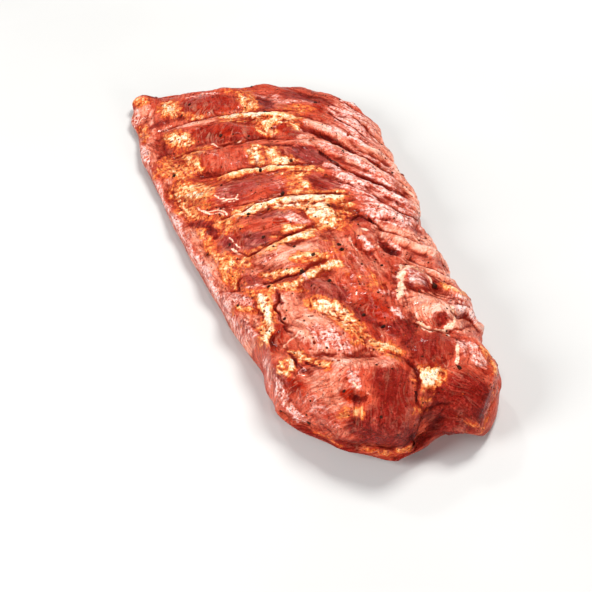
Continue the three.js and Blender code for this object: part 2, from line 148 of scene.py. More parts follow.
def baseSkin(p, q):  # top and underside of the bare form, and how far the underside is tucked flat
    edges, (width, length), (planWidth, planLength) = form["edges"], form["skin"], form["plan"]
    u, riseAcross, tuckAcross = overEdges(p, width, planWidth, edges["left"], edges["right"])
    w, riseAlong, tuckAlong = overEdges(q, length, planLength, edges["near"], edges["far"])
    sheet = rimSheet(u, w)
    arch = form["arch"]
    across = np.clip(1 - ((p - arch["p"]) / arch["halfWidth"]) ** 2, 0, 1)
    low = arch["height"] * np.sqrt(across) * np.clip(1 - (q / arch["reach"]) ** 2, 0, 1)
    tuck = tuckAcross * tuckAlong
    top, under = sheet.copy(), sheet.copy()
    top[..., 2] += (crownAt(u, w) - sheet[..., 2]) * riseAcross * riseAlong
    under[..., 2] = low + np.maximum(sheet[..., 2] - low, 0) * (1 - tuck) ** form["underRoundness"]
    return top, under, tuck


scramble = {
    "across": 374761393,
    "along": 668265263,
    "seed": 974634777,
    "stir": 1274126177,
    "bits": 0xFFFFFFFF,
}


def hashed(i, j, seed):  # repeatable random number from 0 to 1 for a lattice point
    n = (i * scramble["across"] + j * scramble["along"] + seed * scramble["seed"]) & scramble["bits"]
    n = ((n ^ (n >> 13)) * scramble["stir"]) & scramble["bits"]
    return ((n ^ (n >> 16)) & 0xFFFFFF) / float(0xFFFFFF)


def ripple(p, q, size, seed):  # smooth noise, about -1 to 1, with bumps as wide as size
    x, y = p / size, q / size
    i, j = np.floor(x).astype(np.int64), np.floor(y).astype(np.int64)
    fx, fy = x - i, y - j

    def lean(di, dj):
        angle = 2 * np.pi * hashed(i + di, j + dj, seed)
        return np.cos(angle) * (fx - di) + np.sin(angle) * (fy - dj)

    sx, sy = fx**3 * (fx * (fx * 6 - 15) + 10), fy**3 * (fy * (fy * 6 - 15) + 10)
    low = lean(0, 0) + sx * (lean(1, 0) - lean(0, 0))
    high = lean(0, 1) + sx * (lean(1, 1) - lean(0, 1))
    return 1.6 * (low + sy * (high - low))


def roughen(p, q, size, seed, layers=3, fade=0.5):  # ripples of halving size on top of each other
    total, height = 0.0, 1.0
    for layer in range(layers):
        total = total + height * ripple(p, q, size / 2**layer, seed + 31 * layer)
        height *= fade
    return total


def strayed(p, q, stray, layers=2, fade=0.5):  # the same places, pushed about unevenly
    return [place + stray["reach"] * roughen(p, q, stray["size"], seed, layers, fade)
            for place, seed in zip((p, q), stray["seeds"])]


def toPath(p, q, path):  # distance to a path, and the share of the way along where it is nearest
    best, share = np.full(p.shape, 1e9), np.zeros(p.shape)
    last = max(len(path) - 1, 1)
    for i, (a, b) in enumerate(zip(path, path[1:])):
        dp, dq = b[0] - a[0], b[1] - a[1]
        t = np.clip(((p - a[0]) * dp + (q - a[1]) * dq) / (dp * dp + dq * dq), 0, 1)
        distance = np.hypot(p - a[0] - t * dp, q - a[1] - t * dq)
        closer = distance < best
        best = np.where(closer, distance, best)
        share = np.where(closer, (i + t) / last, share)
    return best, share


def ridge(p, q, path, halfWidth, sharp=False):  # ridge along a path, lower towards both ends
    distance, share = toPath(p, q, path)
    offset = np.clip(distance / halfWidth, 0, 1)
    ends = 0.45 + 0.55 * np.sqrt(np.sin(np.pi * share))
    return ((1 - offset) ** 1.4 if sharp else (1 - offset**2) ** 2) * ends


relief = {
    "waves": {"count": 9, "longest": 46, "shortest": 15, "height": 0.42, "seed": 7},
    # seams between the muscles: path, half width, depth
    "seams": [
        ([(20, 338), (35, 340), (55, 340), (75, 338.5), (100, 339)], 3, 1.4),
        ([(30, 303), (45, 301), (60, 302), (78, 306), (100, 300)], 3, 1.5),
        ([(104, 314), (112, 309), (119, 302), (126, 295), (131, 288), (140, 281), (152, 272)], 5, 3.2),
        ([(40, 269), (60, 270), (78, 270), (98, 270)], 2.6, 1.2),
        ([(108, 283), (111, 275), (114, 267), (118, 261), (123, 256)], 1.9, 2.6),
        ([(123, 256), (135, 251), (150, 243), (162, 236)], 4.5, 3),
        ([(33, 221), (45, 222.5), (60, 229), (73, 233.5), (80, 237), (95, 236.5), (110, 233)], 2.6, 1.9),
        ([(105, 205), (112, 207), (116, 203), (119, 198), (123, 192)], 1.9, 2.6),
        ([(30, 183), (36, 178), (45, 181), (55, 187), (65, 191), (74, 197), (82, 202)], 2.2, 1.5),
        ([(38, 146), (48, 148), (58, 151), (66, 156), (74, 161), (80, 166)], 2.2, 1.3),
        ([(14, 140), (20, 144), (24, 152), (28, 156)], 1.7, 1.4),
        ([(43, 135), (41, 126), (36.5, 118), (37, 110), (38, 102), (35, 92)], 1.9, 1.9),
        ([(130, 160), (140, 156), (152, 150), (163, 146)], 4, 2.2),
        ([(100, 98), (112, 92), (118, 86), (128, 84), (136, 92), (150, 92)], 2.6, 1),
        ([(40, 66), (46, 68), (54, 68)], 4, 0.9),
        ([(50, 67), (60, 67), (75, 71), (88, 75)], 7, 1.3),
        ([(88, 75), (93, 69), (96, 60), (97, 50), (96, 43), (94, 37)], 4.4, 1.9),
        ([(94, 37), (101, 32), (109, 28), (118, 26)], 4, 1.1),
        ([(55, 36), (61, 35.5), (66, 38)], 5.5, 2),
        ([(27, 63), (28, 52)], 2, 1.4),
        ([(12, 128), (13, 180), (12, 230), (12, 290), (12, 350)], 3, 0.3),
        ([(126, 339), (138, 326), (147, 318)], 2.4, 1.2),
        ([(141, 345), (150, 330), (160, 322)], 4, 2.4),
        ([(128, 228), (140, 219), (156, 214)], 3.2, 2),
        ([(106, 252), (120, 238), (136, 224)], 2.4, 1.3),
        ([(134, 108), (146, 100), (160, 92)], 3, 1.8),
    ],
    # bands of fat and tendon that stand proud: path, half width, height
    "bands": [
        ([(55, 334), (70, 334.5), (85, 333), (102, 330)], 5, 1.4),
        ([(45, 265), (60, 266), (78, 266), (97, 264)], 5, 1.5),
        ([(40, 219), (55, 224), (68, 230), (85, 231), (104, 228)], 6, 2),
        ([(42, 176), (60, 184), (75, 191), (86, 196)], 5, 1.4),
        ([(48, 144), (60, 147), (72, 154), (83, 160)], 5, 1.2),
        ([(102, 326), (116, 317), (131, 305), (148, 294), (160, 286)], 7.5, 3),
        ([(96, 296), (108, 292), (118, 283), (131, 270), (148, 257), (162, 250)], 8, 3),
        ([(98, 259), (110, 257), (122, 246), (140, 237), (158, 226)], 6.5, 2.4),
        ([(110, 218), (126, 214), (142, 205), (158, 196)], 8, 2),
        ([(118, 184), (134, 178), (148, 172), (160, 166)], 7.5, 2.2),
        ([(134, 138), (146, 132), (160, 124)], 7.5, 1.8),
        ([(136, 112), (148, 108), (160, 100)], 6.5, 2.6),
        ([(31, 132), (31, 116), (28, 100), (18, 82), (10, 70)], 4, 1.6),
        ([(110, 120), (114, 128), (118, 141), (124, 149), (131, 148), (134, 137)], 3.2, 1),
        ([(4, 100), (5, 180), (5, 260), (5, 340)], 4, 0.8),
    ],
    # swellings of the muscles, and dips: centre, half axes, height
    "swells": [
        ((52, 355), (24, 15), 1.6), ((56, 316), (26, 15), 1.8), ((50, 286), (24, 17), 2),
        ((84, 282), (10, 13), 1.4), ((98, 282), (12, 13), 1.2), ((52, 246), (24, 14), 2.2),
        ((97, 247), (12, 11), 1.4), ((58, 206), (25, 13), 2.4), ((90, 212), (11, 14), 1.6),
        ((60, 172), (22, 13), 2.4), ((107, 180), (10, 13), 2.6), ((120, 169), (7, 9), -3),
        ((91, 152), (17, 42), 2.2), ((126, 136), (10, 13), 2.4), ((69, 134), (13, 11), 1.4),
        ((56, 84), (24, 24), 3.4), ((95, 108), (18, 22), 1.4), ((124, 106), (14, 18), 2.2),
        ((116, 72), (20, 16), 2.4), ((66, 34), (35, 37), 6.2), ((120, 36), (26, 24), 3.4),
        ((105, 50), (10, 9), 2), ((21, 48), (16, 20), 1.6), ((20, 10), (22, 12), 2),
        ((167, 76), (26, 19), -5.5), ((170, 206), (34, 46), -4.6), ((169, 157), (26, 14), -2.6),
        ((169, 283), (15, 10), -2.8), ((163, 98), (9, 5), 3), ((166, 185), (12, 12), 2),
        ((166, 262), (12, 12), 2), ((166, 310), (12, 14), 2.4), ((6, 388), (12, 9), 2.6),
        ((152, 372), (8, 7), 3), ((156, 4), (38, 50), -4.6), ((105, 2), (22, 42), -8),
        ((22, 2), (32, 24), -4), ((126, 4), (14, 30), 5), ((74, 2), (20, 22), -4),
        ((62, 394), (56, 18), -3.4), ((0, 338), (12, 28), -2.6),
    ],
    # muscles with a plump edge: centre, half axes, height
    "lobes": [
        ((64, 35), (37, 32), 2.6), ((56, 88), (21, 22), 1.8), ((53, 355), (21, 14), 0.7),
        ((56, 317), (23, 12), 0.7), ((52, 285), (20, 14), 0.8), ((52, 246), (22, 13), 0.9),
        ((60, 206), (22, 12), 1), ((60, 172), (20, 11), 0.9), ((98, 282), (10, 12), 0.8),
        ((97, 248), (10, 10), 0.7), ((91, 150), (15, 38), 0.8), ((125, 137), (8, 10), 1),
        ((116, 70), (16, 14), 1.4), ((69, 133), (10, 9), 0.6), ((107, 180), (7, 11), 1),
        ((124, 105), (11, 14), 1.2),
    ],
    "lobeEdge": 0.55,  # smaller is plumper
    "stray": {"reach": 1.6, "size": 13, "seeds": (5, 9)},  # how far seams and bands leave their paths
    "lobeStray": {"reach": 1.6, "size": 13, "seed": 101},
    "seamUneven": {"share": 0.45, "size": 9, "seed": 71},
    "fibre": {"height": 0.07, "width": 2.4, "length": 18, "seed": 3},
    "fatLumps": {"height": 0.42, "size": 3.4, "seed": 21},
    "wrinkles": {"height": 0.34, "size": 6.5, "seed": 33},
    "flankFolds": {
        "height": 0.38, "width": 5.5, "length": 20, "turn": 40, "seed": 13,
        "stray": {"reach": 4, "size": 14, "seeds": (81, 83)},
        "fromP": 100, "fullP": 122, "fromQ": 95, "fullQ": 125,
    },
    "inkDepth": {"crease": 0.4, "deep": 0.2, "fat": -0.22, "pale": -0.14, "sinew": -0.2},  # minus stands up
    "rimFade": {"width": 3, "atRim": 0.35},  # the fine relief fades out at the rim, which both sides share
    "hollows": [(2, 0.9), (6, 0.4)],  # reach in cells and weight of the means that the skin is held against
}


def waveDraws(seed):  # endless draws from 0 to 1, the same ones as the solid's waves have
    multiplier, step, span = 1664525, 1013904223, 2**32
    state = seed
    while True:
        state = (state * multiplier + step) % span
        yield state / span


def slowRelief(p, q):  # waves, swellings and plump muscles
    waves, wobble = relief["waves"], relief["lobeStray"]
    draw = waveDraws(waves["seed"])
    height = np.zeros(p.shape)
    for _ in range(waves["count"]):
        length = waves["shortest"] + (waves["longest"] - waves["shortest"]) * next(draw)
        turn, phase = 2 * np.pi * next(draw), 2 * np.pi * next(draw)
        along = np.cos(turn) * p + np.sin(turn) * q
        height += waves["height"] * np.sin(2 * np.pi * along / length + phase)
    for (atP, atQ), (halfP, halfQ), rise in relief["swells"]:
        offset = np.clip(((p - atP) / halfP) ** 2 + ((q - atQ) / halfQ) ** 2, 0, 1)
        height += rise * (1 - offset) ** 1.5
    stray = wobble["reach"] * roughen(p, q, wobble["size"], wobble["seed"], 2)
    for (atP, atQ), (halfP, halfQ), rise in relief["lobes"]:
        offset = np.clip(((p + stray - atP) / halfP) ** 2 + ((q - stray - atQ) / halfQ) ** 2, 0, 1)
        height += rise * (1 - offset) ** relief["lobeEdge"]
    return height


def bandRelief(p, q):  # fat bands and seams
    unevenness = relief["seamUneven"]
    strayP, strayQ = strayed(p, q, relief["stray"])
    uneven = 1 + unevenness["share"] * ripple(p, q, unevenness["size"], unevenness["seed"])
    height = np.zeros(p.shape)
    for path, halfWidth, rise in relief["bands"]:
        height += rise * ridge(strayP, strayQ, path, halfWidth)
    for path, halfWidth, depth in relief["seams"]:
        height -= depth * uneven * ridge(strayP, strayQ, path, halfWidth, True)
    return height


# bare muscle lies under all of these
tissues = ("fat", "amber", "glaze", "mauve", "pale", "deep", "peach", "crease", "sinew")

# Laid on in this order, each over the ones before: tissue, cover (0 to 1), half width, path.
# A layer of muscle takes the others away.
# crease strokes, and the thin deep strokes that follow the seams, are painted shade in the grooves
layers = [
    # grounds
    ("peach", 0.8, 24, [(146, 110), (146, 345)]),
    # pale over the flank: pink membrane, with painted sheen
    ("pale", 0.42, 15, [(140, 195), (142, 345)]),
    ("pale", 0.35, 13, [(124, 205), (132, 250)]),
    ("amber", 0.72, 13, [(21, 130), (20, 300)]),
    ("fat", 0.5, 6, [(13, 150), (11, 235), (13, 290)]),
    ("deep", 0.4, 9, [(14, 305), (16, 380)]),
    ("deep", 0.45, 12, [(40, 388), (120, 380)]),
    ("peach", 0.85, 9, [(6, 90), (7, 372)]),
    ("pale", 0.62, 4, [(4, 96), (4, 372)]),
    ("fat", 0.3, 3, [(9, 62), (10, 120)]),
    ("pale", 0.5, 3, [(9, 62), (11, 130)]),
    # beyond the rim: the underside
    ("peach", 0.6, 20, [(188, 90), (188, 350)]),
    ("pale", 0.5, 9, [(180, 150), (186, 340)]),
    ("fat", 0.4, 8, [(-14, 80), (-18, 230), (-14, 370)]),
    ("deep", 0.5, 14, [(30, -18), (140, -20)]),
    ("deep", 0.7, 5, [(20, -5), (34, -8), (58, -5)]),
    ("amber", 0.75, 3.4, [(34, -2), (48, -4)]),
    ("amber", 0.8, 3, [(64, -3), (84, -5)]),
    ("deep", 0.75, 7, [(88, -7), (130, -7)]),
    ("amber", 0.7, 4, [(134, -5), (154, -4)]),
    # thin far end
    ("amber", 0.85, 7, [(3, 396), (10, 384)]),
    ("deep", 0.7, 3.5, [(14, 396), (19, 388)]),
    ("glaze", 1, 14, [(47, 356), (57, 356)]),
    ("deep", 0.8, 8, [(84, 346), (88, 358)]),
    ("fat", 0.78, 5, [(26, 369), (29, 357)]),
    ("fat", 0.85, 2.4, [(33, 352), (38, 346), (45, 340)]),
    ("sinew", 0.7, 0.6, [(34, 352), (39, 345), (45, 341)]),
    ("fat", 0.7, 4.5, [(75, 361), (77, 347)]),
    ("pale", 0.6, 4.4, [(95, 362), (99, 350)]),
    ("deep", 0.62, 9, [(106, 363), (124, 360)]),
    ("pale", 0.8, 1.6, [(40, 371), (55, 373), (70, 370), (85, 363), (95, 355), (105, 352), (125, 351)]),
    ("amber", 0.7, 5, [(66, 372), (80, 368)]),
    ("amber", 0.75, 7, [(101, 342), (114, 342)]),
    ("glaze", 0.95, 4.5, [(121, 348), (122, 341)]),
    ("mauve", 0.45, 9, [(130, 342), (138, 320)]),
    ("pale", 0.6, 8, [(132, 344), (138, 322)]),
    ("pale", 0.8, 5, [(138, 325), (141, 315)]),
    ("pale", 0.7, 6, [(142, 352), (146, 372)]),
    ("amber", 0.85, 4, [(8, 352), (8, 334)]),
    # first fat band and the patch below it
    ("fat", 1, 4, [(61, 335), (73, 335)]),
    ("fat", 0.85, 4.2, [(74, 333), (88, 331), (101, 330)]),
    ("peach", 0.75, 2.6, [(22, 338), (40, 336), (58, 331)]),
    ("fat", 0.8, 1.4, [(55, 331), (70, 328), (90, 327), (100, 323)]),
    ("deep", 0.95, 1.7, [(83, 331), (87, 331.5)]),
    ("glaze", 1, 10, [(43, 320), (55, 321)]),
    ("glaze", 0.85, 8, [(66, 317), (74, 315)]),
    ("deep", 0.6, 4.6, [(42, 308), (58, 308)]),
    ("deep", 0.7, 3, [(60, 307), (78, 307)]),
    ("sinew", 0.9, 0.7, [(47, 306), (49, 301.5), (53, 300)]),
    ("sinew", 0.8, 0.55, [(52, 301), (60, 301.5), (66, 304)]),
    ("deep", 0.5, 3.6, [(14, 346), (26, 348), (38, 347)]),
    ("fat", 0.85, 5.5, [(24, 326), (30, 319)]),
    ("fat", 0.8, 3.5, [(29, 322), (33, 312)]),
    ("deep", 0.5, 6, [(15, 325), (17, 310)]),
    ("deep", 0.6, 3.4, [(14, 305), (26, 304), (38, 306)]),
    ("fat", 1, 5, [(83, 323), (83, 313)]),
    ("amber", 0.55, 4, [(80, 322), (85, 316)]),
    ("fat", 0.85, 5, [(94, 325), (100, 317)]),
    ("glaze", 1, 4, [(92, 318), (98, 305)]),
    ("amber", 0.55, 7, [(108, 326), (112, 318)]),
    ("deep", 1, 3.4, [(110, 311), (117, 305), (124, 295), (133, 285), (141, 279)]),
    ("crease", 0.7, 1.3, [(112, 310), (118, 303.5)]),
    ("pale", 1, 2.6, [(102, 303), (104, 300)]),
    ("pale", 0.9, 2, [(105, 313), (107, 310)]),
    ("peach", 0.9, 6, [(112, 322), (128, 309), (148, 295)]),
    ("pale", 0.6, 4, [(122, 315), (136, 304)]),
    # third patch
    ("amber", 0.8, 4, [(14, 301), (42, 302)]),
    ("muscle", 1, 13.5, [(47, 284), (57, 285)]),
    ("mauve", 0.35, 12, [(52, 284), (60, 284)]),
    ("amber", 0.95, 9, [(14, 290), (24, 284)]),
    ("fat", 0.6, 2.6, [(29, 297), (34, 278)]),
    ("fat", 1, 2.8, [(71, 294), (67.5, 285), (68, 276)]),
    ("amber", 0.9, 7, [(81, 286), (88, 278)]),
    ("fat", 0.9, 1.6, [(79, 292), (76.5, 284), (78, 276)]),
    ("fat", 0.95, 4.4, [(81, 274), (89, 275)]),
    ("deep", 0.85, 2.7, [(85, 286.5), (85, 282)]),
    ("mauve", 1, 8.5, [(97, 285), (104, 275)]),
    ("deep", 0.3, 6, [(97, 285), (103, 276)]),
    ("deep", 0.75, 1.8, [(78, 295), (93, 294)]),
    ("peach", 0.95, 6.5, [(104, 300), (114, 292), (124, 280), (134, 268)]),
    ("pale", 0.6, 4, [(112, 292), (122, 280), (134, 266)]),
    ("crease", 0.9, 0.8, [(107, 286), (111, 277), (114, 269), (117, 263), (122, 257)]),
    ("deep", 1, 2.8, [(123, 256), (135, 251), (150, 244)]),
    ("pale", 0.9, 2.4, [(108, 268), (113, 262)]),
    # second band and the fourth patch
    ("deep", 0.6, 3.8, [(14, 271), (38, 271)]),
    ("fat", 0.66, 7.5, [(16, 260), (30, 257)]),
    ("amber", 0.5, 7, [(14, 262), (28, 256)]),
    ("fat", 0.7, 2.6, [(14, 258), (26, 253)]),
    ("amber", 0.9, 4.6, [(44, 265), (64, 267), (80, 265.5)]),
    ("fat", 0.2, 3, [(50, 265), (64, 267), (78, 265.5)]),
    ("amber", 0.8, 4.6, [(80, 263), (99, 263.5)]),
    ("fat", 0.45, 3, [(80, 263), (99, 263.5)]),
    ("deep", 0.7, 1.1, [(66, 261.5), (74, 263.5), (82, 266)]),
    ("mauve", 0.6, 13, [(43, 246), (64, 247)]),
    ("glaze", 0.5, 6, [(58, 238), (66, 243)]),
    ("sinew", 0.9, 0.6, [(34, 247), (36, 243), (41, 240), (46, 240), (48, 243)]),
    ("sinew", 0.8, 0.55, [(37, 240), (43, 237), (47, 238.5)]),
    ("sinew", 0.95, 0.65, [(22, 240), (23, 235), (27, 231.5), (32, 231.5), (36, 229), (37, 224)]),
    ("sinew", 0.85, 0.55, [(24, 233), (28, 228.5), (33, 228), (35, 224)]),
    ("sinew", 0.85, 0.55, [(30, 235), (34, 233), (37, 231)]),
    ("sinew", 0.9, 0.6, [(37, 233.5), (41, 230), (43, 225), (42, 221)]),
    ("deep", 0.7, 1.6, [(27, 234.5), (34, 234.5), (39, 231.5)]),
    ("pale", 1, 2, [(74, 252), (76, 245)]),
    ("amber", 0.9, 8, [(84, 250), (86, 241)]),
    ("fat", 0.75, 2.6, [(90, 257), (89, 247)]),
    ("mauve", 0.9, 6.5, [(97, 251), (106, 244)]),
    ("deep", 0.7, 5, [(95, 250), (98, 243)]),
    ("pale", 0.75, 7, [(112, 251), (120, 241)]),
    ("amber", 0.9, 6, [(13, 246), (16, 230)]),
    ("fat", 0.7, 2.6, [(14, 249), (13, 236)]),
    ("deep", 0.85, 1.3, [(40, 221), (50, 225), (60, 229.5), (73, 234), (80, 237)]),
    ("amber", 0.9, 2, [(78, 237), (95, 237.5), (110, 234)]),
    ("crease", 0.45, 0.8, [(44, 222.5), (60, 229.5), (74, 235)]),
    # third band and the fifth patch
    ("fat", 0.95, 4.6, [(46, 222), (56, 225), (66, 227), (82, 230), (104, 230)]),
    ("fat", 0.95, 6, [(70, 226), (96, 227)]),
    ("amber", 0.95, 6.5, [(100, 219), (102, 206)]),
    ("deep", 0.85, 3.2, [(97, 222), (103, 219)]),
    ("fat", 1, 7.4, [(87, 218), (90, 203)]),
    ("fat", 1, 5, [(86, 217), (90, 204)]),
    ("fat", 0.7, 3.6, [(107, 221), (108, 208)]),
    ("mauve", 0.85, 11.5, [(50, 207), (68, 208)]),
    ("muscle", 0.8, 7, [(46, 208), (56, 206)]),
    ("pale", 1, 6.4, [(73, 210), (76, 206)]),
    ("glaze", 1, 3.3, [(62, 208), (66, 205)]),
    ("fat", 1, 2.8, [(66, 199.5), (78, 199)]),
    ("amber", 1, 7.5, [(26, 216), (35, 212)]),
    ("deep", 0.9, 3.2, [(23, 213), (25, 203)]),
    ("deep", 0.8, 4.6, [(14, 222), (24, 218)]),
    ("mauve", 0.85, 9, [(32, 192), (45, 190)]),
    ("deep", 0.7, 1.7, [(37, 199), (38, 188)]),
    ("sinew", 0.85, 0.55, [(32, 199), (34, 192), (35.5, 186)]),
    ("sinew", 0.95, 1, [(31, 187), (33, 181), (37, 178.5), (41, 180)]),
    ("fat", 0.8, 1.6, [(57, 192), (64, 190.5)]),
    ("crease", 0.8, 0.65, [(35, 177), (45, 182.5), (50, 186), (58, 190), (65, 192.5), (75, 198), (82, 202)]),
    ("deep", 0.9, 4, [(106, 206), (115, 204)]),
    ("pale", 0.9, 6, [(122, 214), (127, 201)]),
    ("crease", 0.95, 0.9, [(115, 208), (117, 202), (120, 195), (123, 193)]),
    # fourth band and the sixth patch
    ("fat", 1, 2.6, [(44, 176), (55, 182.5), (66, 187.5), (78, 193.5), (87, 199)]),
    ("peach", 0.8, 8, [(34, 160), (44, 166)]),
    ("amber", 0.95, 7, [(23, 171), (42, 174)]),
    ("fat", 0.85, 3.4, [(25, 170), (34, 168)]),
    ("amber", 0.75, 8, [(20, 156), (24, 166)]),
    ("peach", 1, 10, [(50, 170), (70, 177)]),
    ("glaze", 0.2, 5, [(58, 176), (74, 182)]),
    # painted glint
    ("pale", 1, 1.9, [(43, 168), (50, 174)]),
    ("fat", 0.9, 4, [(64, 168), (76, 168.5)]),
    ("amber", 0.6, 2.5, [(66, 167), (76, 167)]),
    ("mauve", 0.6, 6, [(31, 152), (39, 150)]),
    ("fat", 1, 3.2, [(44, 154), (58, 153)]),
    ("deep", 0.9, 2.6, [(40, 146), (52, 148), (60, 152)]),
    ("crease", 0.6, 0.8, [(42, 146), (52, 147.5), (62, 153.5)]),
    ("crease", 0.7, 0.65, [(62, 153), (70, 157), (79, 163)]),
    # painted glint
    ("pale", 1, 1.9, [(26, 144), (38, 143.5)]),
    ("fat", 0.95, 2.4, [(58, 142), (66, 149), (78, 157.5), (84, 163)]),
    ("pale", 1, 2, [(62, 151), (62, 143)]),
    ("crease", 0.6, 0.7, [(20, 140), (24, 147), (26, 154)]),
    ("crease", 0.5, 0.6, [(14, 140), (26, 141), (40, 141)]),
    # seventh patch and the striated muscle
    ("fat", 0.75, 5, [(44, 138), (57, 137)]),
    ("mauve", 1, 8.2, [(68, 136), (72, 131)]),
    ("amber", 0.36, 14, [(92, 188), (96, 140)]),
    ("peach", 0.5, 9, [(88, 190), (104, 150)]),
    ("deep", 0.6, 2.2, [(103, 188), (102, 178), (104, 170)]),
    ("amber", 0.55, 3, [(87, 188), (90, 172)]),
    ("amber", 0.5, 2.6, [(100, 152), (103, 134)]),
    ("pale", 0.55, 1.3, [(95, 172), (97, 152)]),
    ("pale", 0.45, 1.1, [(88, 166), (90, 146)]),
    ("deep", 0.5, 1.7, [(92, 178), (94, 150)]),
    ("sinew", 0.8, 0.8, [(110, 193), (115, 188), (116, 180), (113, 171)]),
    ("sinew", 0.7, 0.8, [(99, 189), (98, 180), (100, 172)]),
    ("peach", 1, 11, [(126, 187), (152, 182)]),
    ("deep", 0.9, 4.6, [(119, 173), (122, 166)]),
    ("pale", 0.7, 3, [(122, 177), (125, 171)]),
    # painted highlight on the swirl
    ("pale", 1, 1.9, [(107, 184), (108, 173)]),
    ("deep", 0.45, 8, [(136, 165), (148, 160)]),
    ("pale", 0.3, 15, [(132, 214), (136, 246)]),
    ("deep", 0.5, 3, [(128, 224), (136, 232)]),
    ("mauve", 1, 6.8, [(126, 141), (124, 131)]),
    ("pale", 0.5, 4.5, [(126, 142), (124, 134)]),
    ("deep", 0.8, 2.4, [(118, 126), (130, 127)]),
    ("pale", 0.9, 2.8, [(110, 119), (114, 128), (117, 139), (121, 149)]),
    ("sinew", 0.95, 1.9, [(110.5, 118), (113.5, 127), (117, 138), (121, 149)]),
    ("sinew", 1, 1.1, [(121, 149), (128, 150), (133, 144), (134, 136)]),
    ("deep", 1, 2.3, [(138, 140), (135, 133)]),
    ("amber", 0.9, 4, [(142, 135), (162, 132)]),
    # white-pink flank: membrane with painted sheen
    ("pale", 1, 10, [(148, 116), (157, 109)]),
    ("peach", 0.85, 11, [(122, 113), (134, 101)]),
    ("deep", 0.9, 3.4, [(129, 100), (127, 92)]),
    # left of the middle
    ("pale", 0.8, 8.5, [(14, 132), (20, 126)]),
    ("peach", 0.9, 8, [(18, 114), (24, 104)]),
    ("fat", 0.6, 3, [(12, 121), (22, 117)]),
    ("amber", 0.8, 4, [(30, 138), (34, 133)]),
    ("fat", 1, 4, [(32, 130), (32, 118), (29, 103)]),
    ("peach", 1, 10.5, [(48, 125), (54, 108)]),
    ("amber", 0.3, 5, [(46, 114), (57, 109)]),
    ("crease", 0.75, 0.7, [(43, 134), (40, 124), (37, 118), (39, 108), (37, 97), (34, 90)]),
    ("deep", 0.8, 2, [(43, 136), (41, 124)]),
    ("fat", 0.85, 9, [(66, 119), (72, 105)]),
    ("fat", 1, 5, [(66, 118), (74, 113)]),
    ("amber", 0.4, 3.4, [(52, 107), (62, 104)]),
    ("mauve", 1, 8.2, [(67, 137), (74, 132)]),
    ("deep", 0.45, 6.5, [(66, 137), (74, 132)]),
    # middle of the right half
    ("deep", 0.85, 13, [(92, 112), (103, 98)]),
    ("glaze", 0.9, 7, [(91, 122), (96, 109)]),
    # painted glints
    ("pale", 0.8, 2.2, [(104, 112), (109, 101)]),
    ("pale", 0.7, 2.2, [(101, 130), (107, 125)]),
    ("peach", 0.85, 5, [(114, 112), (116, 98)]),
    # big pink muscle and the strips left of it
    ("peach", 1, 16, [(49, 98), (57, 78)]),
    # pale over the big pink muscle and the pale streaks below: painted sheen on the wet muscle, over its
    # lighter fibres
    ("pale", 0.42, 10, [(52, 90), (58, 77)]),
    ("fat", 0.75, 6, [(72, 97), (80, 85), (88, 74)]),
    ("amber", 0.65, 3.6, [(70, 99), (77, 89), (86, 71)]),
    ("amber", 0.9, 2.6, [(71, 93), (68, 78)]),
    ("pale", 0.6, 1.1, [(44, 96), (46, 84), (45, 72)]),
    ("pale", 0.65, 1.2, [(50, 100), (51, 88), (50, 76)]),
    ("pale", 1, 1.9, [(53.5, 90), (53, 75)]),
    ("pale", 1, 2.4, [(57.5, 91), (57, 73)]),
    ("pale", 0.6, 1, [(60, 98), (60, 88), (59, 72)]),
    ("mauve", 0.4, 1, [(47.5, 96), (48.5, 78)]),
    ("mauve", 0.4, 0.9, [(62, 94), (61.5, 76)]),
    ("pale", 0.9, 1.5, [(64, 80), (63, 70)]),
    ("fat", 0.95, 4, [(27, 102), (20, 88), (12, 76)]),
    ("pale", 0.9, 3.4, [(12, 102), (8, 88)]),
    ("glaze", 1, 4.4, [(32, 99), (24, 86), (13, 64)]),
    ("sinew", 0.6, 0.7, [(38, 92), (31, 80), (24, 68)]),
    # near right
    ("deep", 0.65, 9, [(104, 78), (106, 66)]),
    ("deep", 0.6, 8, [(118, 76), (120, 66)]),
    ("sinew", 1, 1.3, [(115, 93), (116, 87), (120, 84.5), (128, 85), (132, 90), (136, 100), (137, 113)]),
    ("sinew", 0.95, 0.95, [(128, 84), (129, 76), (126, 64), (124, 54)]),
    ("pale", 0.9, 6.5, [(134, 73), (138, 60)]),
    ("amber", 0.9, 5, [(147, 70), (149, 46)]),
    ("deep", 0.95, 14, [(108, 33), (130, 33)]),
    ("fat", 1, 6, [(101, 52), (109, 48)]),
    ("amber", 0.9, 4, [(95, 34), (103, 34)]),
    ("deep", 0.7, 12, [(120, 14), (140, 22)]),
    ("amber", 0.6, 6, [(152, 30), (158, 14)]),
    # rolled near end
    # deep on the roll's right side: the muscle's own dark red, darkened further as painted shade on the side
    # turned from the light
    ("deep", 0.72, 12.5, [(81, 54), (82, 38)]),
    ("peach", 0.6, 13, [(40, 49), (46, 38)]),
    ("peach", 0.55, 7, [(38, 61), (60, 62), (82, 68)]),
    # the roll's lower front: dark red muscle with painted shade on the face turned from the light
    ("deep", 0.9, 13, [(66, 20), (84, 14)]),
    # pink-white lip with a painted highlight
    ("pale", 1, 2.8, [(59, 52), (60, 45)]),
    ("sinew", 0.8, 0.9, [(59, 46), (62, 41.5), (68, 40.5)]),
    ("glaze", 1, 5, [(57, 37), (65, 36)]),
    ("deep", 0.8, 3, [(60, 36), (65, 36)]),
    ("crease", 0.5, 0.9, [(62, 36), (66, 37.5)]),
    ("amber", 1, 2.3, [(62, 30), (61, 27)]),
    ("amber", 1, 2.5, [(54, 27), (51, 22)]),
    ("pale", 0.35, 8, [(34, 27), (44, 18)]),
    # painted glints on the lower left of the roll
